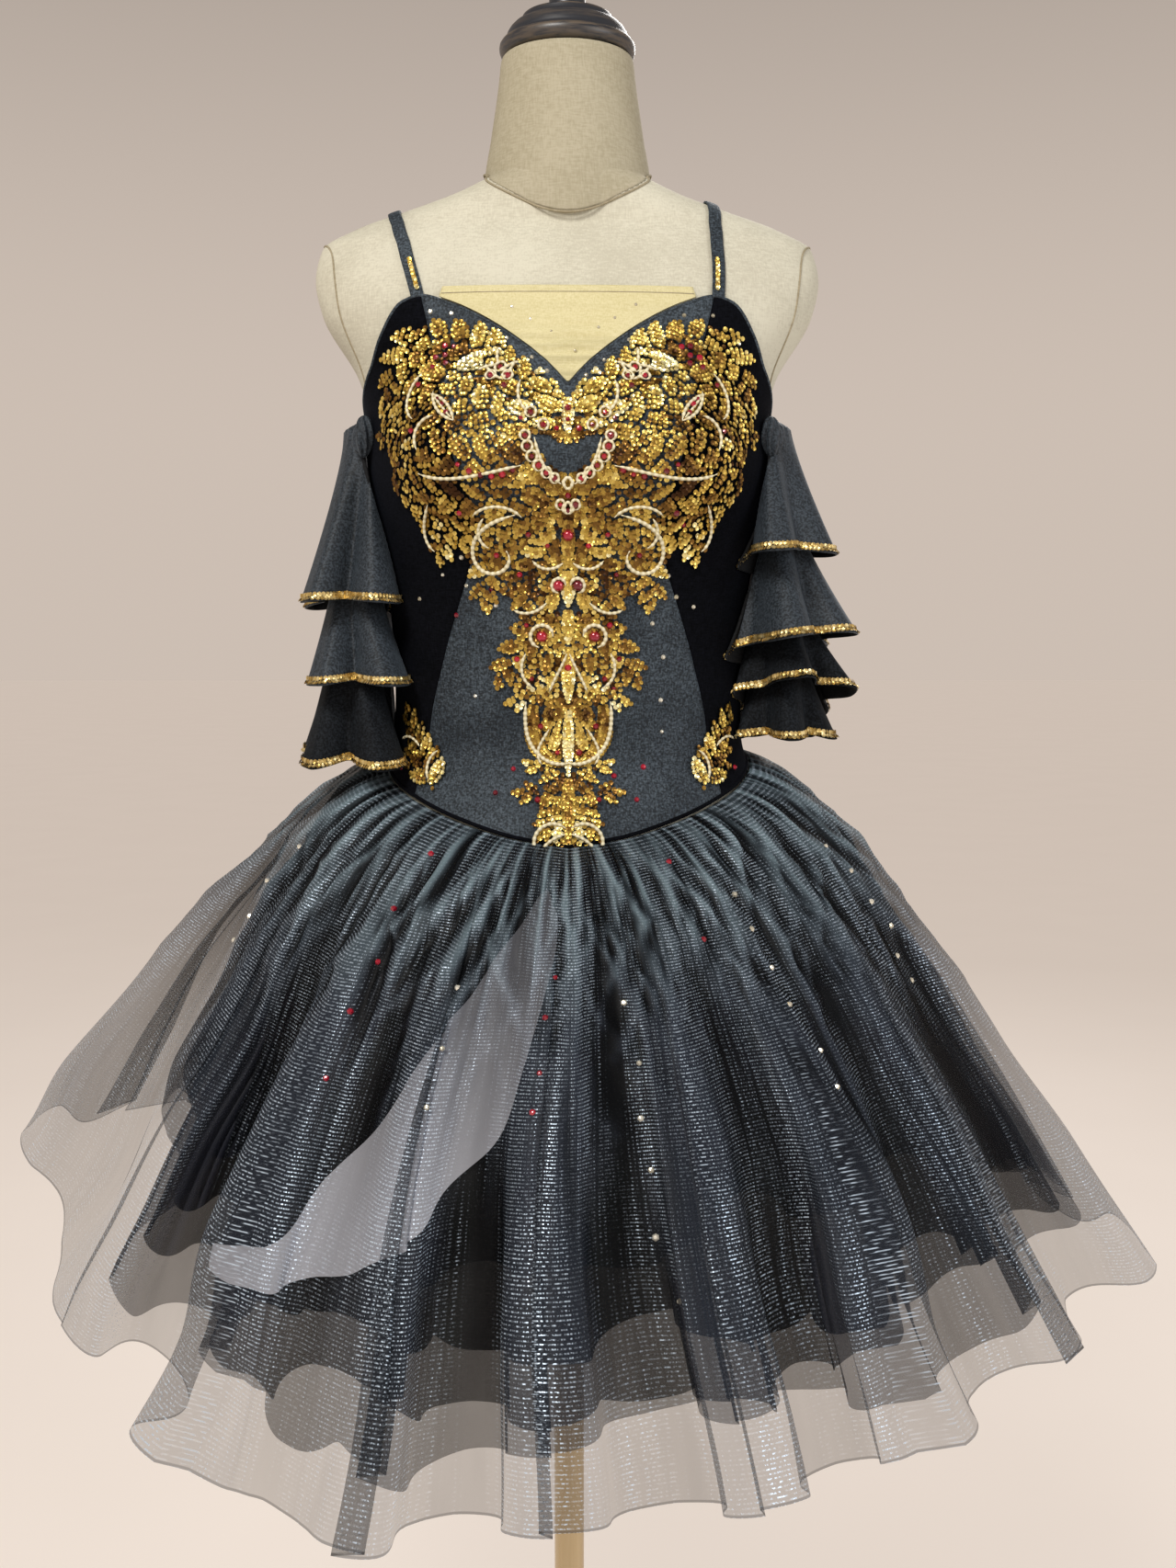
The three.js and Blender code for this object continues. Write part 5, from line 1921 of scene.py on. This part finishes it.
    def braid_surface(self, flounce: Flounce, seed: int) -> Surface:
        """Two rows of sequins along a flounce's hem.

        Args:
            flounce: the flounce.
            seed: which variation it has.

        Returns:
            The surface.
        """
        rng = np.random.default_rng(seed)
        length = flounce.top - flounce.hem
        rows = []
        for row, up in enumerate((1.7, 4.6)):
            turn = circle(1200)
            line = self.flounce_points(flounce, turn, np.full(1200, 1 - up / length))
            gone = np.concatenate(([0], np.cumsum(np.linalg.norm(np.diff(line, axis=0), axis=-1))))
            count = int(gone[-1] / 2.9)
            at = np.interp((np.arange(count) + 0.5 * row) * gone[-1] / count, gone, turn)
            share = np.full(count, 1 - up / length)
            point = self.flounce_points(flounce, at, share)
            ahead = self.flounce_points(flounce, at + 0.02, share) - self.flounce_points(flounce, at - 0.02, share)
            fall = point - self.flounce_points(flounce, at, share - 0.03)
            out = unit(np.cross(fall, ahead))
            middle = np.array([self.side * 160.0, -10, 0])
            facing = np.sum(out * (point - middle) * np.array([1, 1, 0]), axis=-1)
            out = np.where((np.median(facing) < 0), -out, out)
            lean = unit(fall) * (0.35 if row else -0.35)
            rows.append((point + out * 0.9, unit(out + lean + rng.normal(0, 0.12, out.shape))))
        places, normals = (np.concatenate([r[k] for r in rows]) for k in (0, 1))
        count = len(places)
        return scatter(*sequin_shape(6), places, normals, np.full(count, 1.9), rng.uniform(0, 6, count),
                       np.clip(rng.normal(0.62, 0.2, count), 0, 1))

    def build(self) -> None:
        """Makes the sleeve's pieces."""
        tube = self.base_surface()
        # the inner faces take the crepe back with painted shade
        base = self.piece(f"sleeve_{self.name}_base_crepe", tube, self.finish.crepe, Slot.CREPE,
                          [f"sleeve_{self.name}_base"], back=self.finish.crepe_back)
        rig.sheet(base, flat=(0.2, 0.19), held="hung", rests_on=[f"bodice_side_{self.name}_velvet"], area=tube.area())
        self.piece(f"sleeve_{self.name}_knot_crepe", self.knot_surface(), self.finish.crepe, Slot.CREPE)
        turn = circle(self.columns)[None, :]
        down = np.concatenate((np.linspace(0, 0.3, 16, endpoint=False), np.linspace(0.3, 1, 30)))[:, None]
        for order, flounce in enumerate(self.flounces, 1):
            grid = self.flounce_points(flounce, turn + 0 * down, down + 0 * turn)
            if order == 1:
                grid = np.concatenate((self.roof(flounce, turn), grid))
            grid = self.outwards(grid)
            surface = shell_surface(grid, self.cloth, True)
            length = (flounce.top - flounce.hem) * MM
            label = f"sleeve_{self.name}_tier_{order}"
            # from that flounce down, the crepe carries painted shade from the flounces above
            crepe = self.finish.crepe if order < self.first_black else self.finish.crepe_lower
            piece = self.piece(f"{label}_crepe", surface, crepe, Slot.CREPE, [label], back=self.finish.crepe_back)
            braid = self.piece(f"sleeve_{self.name}_braid_{order}_sequins", self.braid_surface(flounce, 60 + order),
                               self.finish.braid, Slot.BRAID, [f"sleeve_{self.name}_braid_{order}"], flat_shaded=True)
            hem = float(np.linalg.norm(np.diff(grid[-1], axis=0), axis=-1).sum()) * MM
            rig.sheet(piece, flat=(round(hem, 3), round(length * 1.12, 3)), held="gathered", rests_on=[base],
                     area=surface.area(), with_pieces=[braid])


def make_sleeves(finish: Finishes, face: float) -> list[Sleeve]:
    """Both sleeves, with their flounces' sizes.

    Args:
        finish: the materials.
        face: how far the bodice's face lies off the form.

    Returns:
        The sleeves.
    """
    left = [
        Flounce(1264, 1134, -159, -14, 48, 82, -0.02, -0.05),
        Flounce(1168, 1076, -153, -14, 50, 84, 0, -0.02),
        Flounce(1108, 1021, -159, -16, 51, 74, 0, 0.08),
    ]
    right = [
        Flounce(1266, 1168, 155, -14, 47, 82, 0.06, -0.08),
        Flounce(1200, 1103, 164, -14, 57, 86, 0.15, -0.12),
        Flounce(1136, 1062, 170, -12, 51, 78, 0.03, -0.28),
        Flounce(1094, 1034, 167, -12, 38, 68, 0, -0.05),
    ]
    return [Sleeve(finish, "left", -1, -0.12, 0.26, left, face), Sleeve(finish, "right", 1, 0.55, 0.22, right, face)]


# ---- the skirt


@dataclass(frozen=True)
class Layer:
    """One layer of the skirt: its share of the full length, and how far it lies inside the envelope."""

    node: str
    piece: str
    envelope: str
    reach: float
    inset: float
    spread: float
    seed: int
    flat: tuple[float, float]


@dataclass
class Skirt(Part):
    """The skirt's fluted layers, the pale petal and the stones on the net."""

    bodice: Bodice
    hem: Table = Table(
        "turn net tulle z", (-180, 420, 402, 640), (-150, 415, 396, 648), (-120, 424, 380, 680), (-88, 430, 352, 728),
        (-75, 412, 356, 692), (-60, 388, 382, 640), (-40, 392, 392, 612), (-20, 414, 414, 606), (0, 424, 424, 634),
        (20, 416, 416, 640), (40, 398, 398, 632), (60, 408, 408, 638), (75, 428, 418, 642), (88, 440, 420, 640),
        (120, 440, 412, 626), (150, 430, 408, 628), (180, 420, 402, 640),
    )
    flutes: tuple[float, ...] = (-86, -62, -40, -20, -2, 16, 35, 56, 82, 108, 133, 158, 180, 202, 227, 250)
    flute_depth: float = 52
    flare_out: float = 0.85
    flare_down: float = 1.1
    top_ease: float = 18.5
    columns: int = 960
    rows: int = 72
    fine_steps: int = 4000
    cloth_length: float = 430
    layers: tuple[Layer, ...] = (
        Layer("skirt_net_overlay", "skirt_net", "net", 1.0, 0, 0, 1, (3.9, 0.46)),
        Layer("skirt_tulle_1", "skirt_tulle_upper", "tulle", 0.93, 3.6, 14, 2, (3.5, 0.43)),
        Layer("skirt_tulle_2", "skirt_tulle_middle", "tulle", 0.88, 5.4, 24, 3, (3.2, 0.405)),
        Layer("skirt_tulle_3", "skirt_tulle_lower", "tulle", 0.82, 7.2, 34, 4, (2.9, 0.375)),
        Layer("skirt_lining", "skirt_lining_cloth", "tulle", 0.7, 9, 44, 5, (2.4, 0.32)),
    )
    rumples: Table = Table(
        "across down swing cycles seed height", (2.25, 7, 1.6, 0.625, 37, 3.2), (3.25, 10, 1.2, 0.875, 32, 2.6),
        (7, 17, 1.2, 1.5, 33, 1.5), (15, 30, 1, 2.5, 39, 0.7),
    )
    petal: Table = Table(
        "turn top bottom", (-45, 712, 706), (-38, 736, 708), (-30, 784, 718), (-20, 862, 742), (-11, 916, 788),
        (-6.5, 938, 832), (-2, 944, 896),
    )
    stone_lines: Table = Table(
        "turn start end count red", (-38, 0.06, 0.44, 5, 1), (26, 0.06, 0.2, 2, 1), (-3, 0.24, 0.46, 4, 1),
        (9, 0.3, 0.74, 6, 0), (37, 0.14, 0.5, 6, 0), (68, 0.14, 0.42, 6, 0), (-19, 0.26, 0.44, 3, 0),
        (118, 0.16, 0.52, 6, 0), (150, 0.2, 0.6, 6, 1), (182, 0.16, 0.5, 5, 0), (214, 0.2, 0.56, 6, 0),
        (244, 0.14, 0.48, 5, 1), (-72, 0.16, 0.4, 4, 0),
    )

    def station(self, round_share: Array) -> tuple[Array, Array, Array]:
        """Where shares of the way round lie among the flutes.

        Args:
            round_share: shares of the way round.

        Returns:
            The turn, the flute's phase and the flute's width.
        """
        edges = np.array([*self.flutes, self.flutes[0] + 360], float)
        q = (round_share % 1) * len(self.flutes)
        i = np.floor(q).astype(int) % len(self.flutes)
        phase = q - np.floor(q)
        width = edges[i + 1] - edges[i]
        return edges[i] + width * phase, phase, width

    def share_at(self, turn: Array | float) -> Array:
        """The share of the way round at which a turn lies.

        Args:
            turn: degrees round the axis.

        Returns:
            The shares.
        """
        fine = np.linspace(0, 1, self.fine_steps, endpoint=False)
        turns = self.station(fine)[0]
        order = np.argsort(turns)
        low = turns[order][0]
        return np.interp((turn - low) % 360 + low, turns[order], fine[order])

    def points(self, round_share: Array, along: Array, layer: Layer, off: float = 0.0) -> Array:
        """Points on a layer.

        Args:
            round_share: shares of the way round.
            along: shares of the full length.
            layer: which layer.
            off: how far outside it.

        Returns:
            The points.
        """
        turn, phase, width = self.station(round_share)
        count = len(self.flutes)
        wrapped = (turn + 180) % 360 - 180
        top_z = self.bodice.waist_height(wrapped) - 1
        top_radius = BODY.radius(np.radians(wrapped), top_z) + self.top_ease
        number = np.floor((round_share % 1) * count)
        vary = np.random.default_rng(77).uniform(-1, 1, (4, count + 1))
        own = vary[:, (number % count).astype(int)]
        ridge = 0.5 + 0.5 * np.cos(2 * np.pi * phase)
        ridge = ridge ** (0.85 + 0.2 * own[0])
        open_share = along**1.3
        tuck = np.exp(-along * 42)
        x = round_share * count

        def noise(across: float, down: Array, seed: int) -> Array:
            """Noise across the cloth and down it."""
            return cloth_noise(x * across, down, seed, round(count * across))

        def creases(across: float, down: Array, seed: int) -> Array:
            """Sharp ridges along the noise's crossings."""
            return 1 - 2.4 * np.abs(noise(across, down, seed))

        radius = mix(top_radius, self.hem.curve("turn", layer.envelope)(wrapped), along**self.flare_out)
        depth = self.flute_depth * (0.88 + 0.32 * own[1])
        radius = radius - depth * (1 - ridge) * open_share - layer.inset * (1 - 0.8 * tuck)
        radius = radius - layer.spread * along - 11.5 * tuck
        drift = along * 5 + 0.8 * np.sin(x * np.pi * 0.625)
        low = noise(3.125, 0 * along, 100 + layer.seed) * 2.5 * along * min(1.0, layer.seed / 2)
        broad = noise(1.625, drift, 31) * 13 * along**0.8
        rumple = sum(creases(across, along * down + swing * np.sin(x * np.pi * cycles), seed) * height
                     for across, down, swing, cycles, seed, height in self.rumples)
        rumple = rumple * np.exp(-(((along - 0.2) / 0.22) ** 2)) * np.clip(along * 14, 0, 1)
        gathers = creases(6.5, drift, 34) * 2.6 * np.exp(-along * 4.5)
        gathers = gathers + creases(15, drift * 2, 35) * 1.3 * np.exp(-along * 10)
        pleats = creases(2.75, along * 2.5, 36) * 7 * along**0.8 * (1 - 0.65 * along)
        pleats = pleats + creases(8, along * 3.5, 42) * 1.6 * along**0.5 * (1 - 0.8 * along)
        radius = radius + low + broad + rumple + pleats + gathers * np.clip(along * 30, 0.25, 1) + off
        swing = np.clip(along * 1.25, 0, 1) ** 1.2
        fold = 0.115 * width * np.sin(4 * np.pi * phase) * swing * (1 + 0.8 * own[1])
        lean = 0.2 * width * own[3] * ridge * swing
        sway = 2.2 * noise(0.875, along * 2, 38) * along + lean
        hem_z = self.hem.curve("turn", "z")(wrapped)
        wave = (6 * noise(1.3125, 0 * along, 40 + layer.seed) + 6 * np.cos(2 * np.pi * phase) * own[2]) * along**3
        z = mix(top_z, hem_z, along**self.flare_down) + wave + 1.5 * tuck
        return polar(np.radians(turn + fold + sway), radius, z)

    def layer_surface(self, layer: Layer) -> Surface:
        """One layer as a single thickness of cloth.

        Args:
            layer: which layer.

        Returns:
            The surface.
        """
        round_share = np.linspace(0, 1, self.columns, endpoint=False)[None, :]
        t = np.linspace(0, 1, self.rows)[:, None]
        share = (t**1.15) * layer.reach
        x = round_share * len(self.flutes)
        ragged = 0.05 * smooth_noise(x * 1.5, 50 + layer.seed, 24) + 0.025 * smooth_noise(x * 4, 60 + layer.seed, 64)
        along = share * (1 + (ragged if layer.reach < 1 else 0 * x))
        grid = self.points(round_share + 0 * t, along, layer)
        cloth = stacked(round_share * layer.flat[0] / MM, share * self.cloth_length)
        made = sheet_surface(grid, True, cloth)
        # the fold map that paints shade in the creases and highlight on the ridges
        made.shade = self.raised(grid).ravel()
        return made

    @staticmethod
    def raised(grid: Array) -> Array:
        """How far each point stands out of the folds near it, as a map for painted fold light and shade.

        Args:
            grid: a layer's points.

        Returns:
            From 0 in a crease to 1 on a ridge.
        """
        radius = np.hypot(grid[..., 0], grid[..., 1])
        shade = np.full(radius.shape, 0.5)
        for reach, weight in ((20, 0.13), (6, 0.15)):
            wide = np.concatenate((radius[:, -reach:], radius, radius[:, :reach]), axis=1)
            total = np.cumsum(np.pad(wide, ((0, 0), (1, 0))), axis=1)
            level = (total[:, 2 * reach + 1:] - total[:, : -2 * reach - 1]) / (2 * reach + 1)
            out = radius - level
            shade += weight * np.clip(out / (out.std(axis=1, keepdims=True) + 0.2), -1.6, 1.6)
        return np.clip(shade, 0, 1)

    def petal_surface(self) -> Surface:
        """The pale petal, between the net and the upper tulle.

        Returns:
            The surface.
        """
        first, last = self.petal["turn"][0], self.petal["turn"][-1]
        turn = np.linspace(first, last, 96)
        share = self.share_at(turn)
        ease = np.clip(np.minimum(turn - first, last - turn) / 3, 0, 1) ** 0.5
        top, foot = (self.petal.curve("turn", name)(turn) for name in ("top", "bottom"))
        middle = (top + foot) / 2
        top, foot = mix(middle, top, ease), mix(middle, foot, ease)
        down = np.linspace(0, 1, 40)[:, None]
        z = mix(top, foot, down)
        top_z = self.bodice.waist_height(turn) - 1
        along = ((top_z - z) / (top_z - self.hem.curve("turn", "z")(turn))) ** (1 / self.flare_down)
        layer = Layer("skirt_petal", "skirt_petal_sheer", "net", 1, 2.8, 7, 2, (0.3, 0.25))
        grid = self.points(share + 0 * z, along, layer)
        cloth = stacked(turn[None, :] * 5, (1 - down) * 60)
        made = sheet_surface(grid, False, cloth)
        made.shade = np.full(len(made.points), 0.5)
        return made

    def stones(self, red: bool) -> Surface:
        """The net's stones in lines that run down from the waist.

        Args:
            red: whether the red ones.

        Returns:
            The surface.
        """
        rng = np.random.default_rng(91)
        net = self.layers[0]
        places, normals = [], []
        for turn, start, end, count, is_red in self.stone_lines:
            if bool(is_red) != red:
                continue
            share = float(self.share_at(turn))
            along = np.linspace(start, end, int(count)) + rng.uniform(-0.01, 0.01, int(count))
            here = np.full(int(count), share) + rng.uniform(-0.003, 0.003, int(count))
            across = self.points(here + 0.001, along, net) - self.points(here - 0.001, along, net)
            fall = self.points(here, along + 0.01, net) - self.points(here, along - 0.01, net)
            places.append(self.points(here, along, net, 0.5))
            normals.append(unit(np.cross(fall, across)))
        place, normal = np.concatenate(places), np.concatenate(normals)
        count = len(place)
        size = rng.uniform(1.9, 2.5, count)
        return scatter(*stone_shape(), place, normal, size, rng.uniform(0, 6, count), rng.uniform(0.3, 1, count))

    def build(self) -> None:
        """Makes the skirt's pieces."""
        for layer, material in zip(self.layers, (self.finish.net, *self.finish.tulles, self.finish.lining)):
            slot = Slot.NET if layer.envelope == "net" else Slot.TULLE
            cloth = self.layer_surface(layer)
            piece = self.piece(layer.piece, cloth, material, slot, [layer.node])
            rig.sheet(piece, flat=layer.flat, held="gathered", rests_on=["bodice_waist_piping"], area=cloth.area())
        cloth = self.petal_surface()
        petal = self.piece("skirt_petal_sheer", cloth, self.finish.petal, Slot.PETAL, ["skirt_petal"])
        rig.sheet(petal, flat=(0.2, 0.16), held="hung", rests_on=["bodice_waist_piping"], area=cloth.area())
        self.piece("skirt_red_stones", self.stones(True), self.finish.red, Slot.RED, flat_shaded=True)
        self.piece("skirt_pale_stones", self.stones(False), self.finish.pale, Slot.PALE, flat_shaded=True)


# ---- the studio


@dataclass
class Studio:
    """The camera, the floor and the soft lights."""

    camera_place: Triple = (0.0, -1.2, 1.12)
    pitch: float = 5.9
    yaw: float = 0.733
    focal_pixels: float = 1680
    image_height: float = 1706
    sensor: float = 36
    world_colour: Colour = (0.82, 0.7, 0.61)
    world_strength: float = 0.74
    zenith: float = 0.26
    fade_start: float = 0.1
    fade_end: float = 0.7
    floor_glow: float = 0.59

    def camera(self) -> None:
        """Makes the camera at the eye height and distance that the view needs."""
        data = bpy.data.cameras.new("camera")
        data.sensor_width = self.sensor
        data.lens = self.sensor * self.focal_pixels / self.image_height
        data.clip_start, data.clip_end = 0.05, 60
        made = linked("camera", data)
        made.location = self.camera_place
        made.rotation_euler = (math.radians(90 - self.pitch), 0, -math.radians(self.yaw))
        bpy.context.scene.camera = made

    def light(self, name: str, place: Triple, aim: Triple, size: float, power: float, colour: Colour) -> None:
        """Makes one square soft light.

        Args:
            name: its name.
            place: where it is.
            aim: the point it faces.
            size: its side.
            power: its power.
            colour: its colour.
        """
        data = bpy.data.lights.new(name, "AREA")
        data.size, data.energy, data.color = size, power, colour
        made = linked(name, data)
        made.location = place
        direction = np.array(aim) - np.array(place)
        flat = math.hypot(direction[0], direction[1])
        made.rotation_euler = (math.atan2(flat, -direction[2]), 0, math.atan2(-direction[0], direction[1]))

    def floor(self) -> None:
        """Makes the pale floor."""
        size = 30.0 / MM
        grid = np.array([[(-size, size, 0), (size, size, 0)], [(-size, -size, 0), (size, -size, 0)]], float)
        mesh = bpy.data.meshes.new("floor")
        mesh.from_pydata([tuple(p * MM) for p in grid.reshape(-1, 3)], [], [(0, 2, 3, 1)])
        graph = Graph("pale floor", Roughness=0.9, Specular_IOR_Level=0.1)
        tone = graph.noise(graph.place(), 3, 2)
        graph.set("Base Color", graph.ramp(tone, (0, (0.42, 0.4, 0.38)), (1, (0.46, 0.44, 0.42))))
        graph.set("Emission Color", self.world_colour)
        graph.set("Emission Strength", self.floor_glow)
        mesh.materials.append(graph.material)
        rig.stage(linked("floor", mesh))

    def build(self) -> None:
        """Makes the whole studio."""
        self.camera()
        self.floor()
        world = bpy.data.worlds.new("studio")
        world.use_nodes = True
        tree = world.node_tree
        background = tree.nodes["Background"]
        background.inputs[0].default_value = (*self.world_colour, 1)
        where = tree.nodes.new("ShaderNodeTexCoord")
        height = tree.nodes.new("ShaderNodeSeparateXYZ")
        fade = tree.nodes.new("ShaderNodeMapRange")
        fade.interpolation_type = "SMOOTHSTEP"
        limits = (self.fade_start, self.fade_end, self.world_strength, self.zenith)
        for socket, value in zip(fade.inputs[1:5], limits):
            socket.default_value = value
        tree.links.new(where.outputs["Generated"], height.inputs[0])
        tree.links.new(height.outputs[2], fade.inputs[0])
        tree.links.new(fade.outputs[0], background.inputs[1])
        bpy.context.scene.world = world
        bpy.context.scene.view_settings.view_transform = "Standard"
        self.light("key", (-0.9, -1.9, 2.9), (0, 0, 1.1), 0.9, 56, (1.0, 0.97, 0.92))
        self.light("fill", (1.9, -1.4, 1.7), (0, 0, 1.0), 1.2, 18, (0.9, 0.95, 1.0))
        self.light("back", (0.6, 2.2, 2.6), (0, 0, 1.0), 1.2, 40, (1.0, 0.97, 0.94))
        bpy.context.scene.cycles.transparent_max_bounces = 32


def main() -> None:
    """Builds every piece round the frame."""
    logging.basicConfig(level=logging.INFO, format="%(name)s %(message)s")
    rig.load()
    cad_box = [list(corner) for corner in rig.bounds()]
    Studio().build()
    finish = Finishes()
    bodice, applique = Bodice(finish), Applique(finish)
    parts = [DressForm(finish), Stand(finish), bodice, applique, BodiceStones(finish, applique, bodice.face),
             *make_sleeves(finish, bodice.face), Skirt(finish, bodice)]
    for part in parts:
        part.build()
    bpy.context.view_layer.update()
    visual_box = [list(corner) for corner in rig.bounds()]
    with open(SIZE_FILE, "w", encoding="utf-8") as file:
        json.dump({"cad": cad_box, "visual": visual_box}, file)


if __name__ == "__main__":
    main()
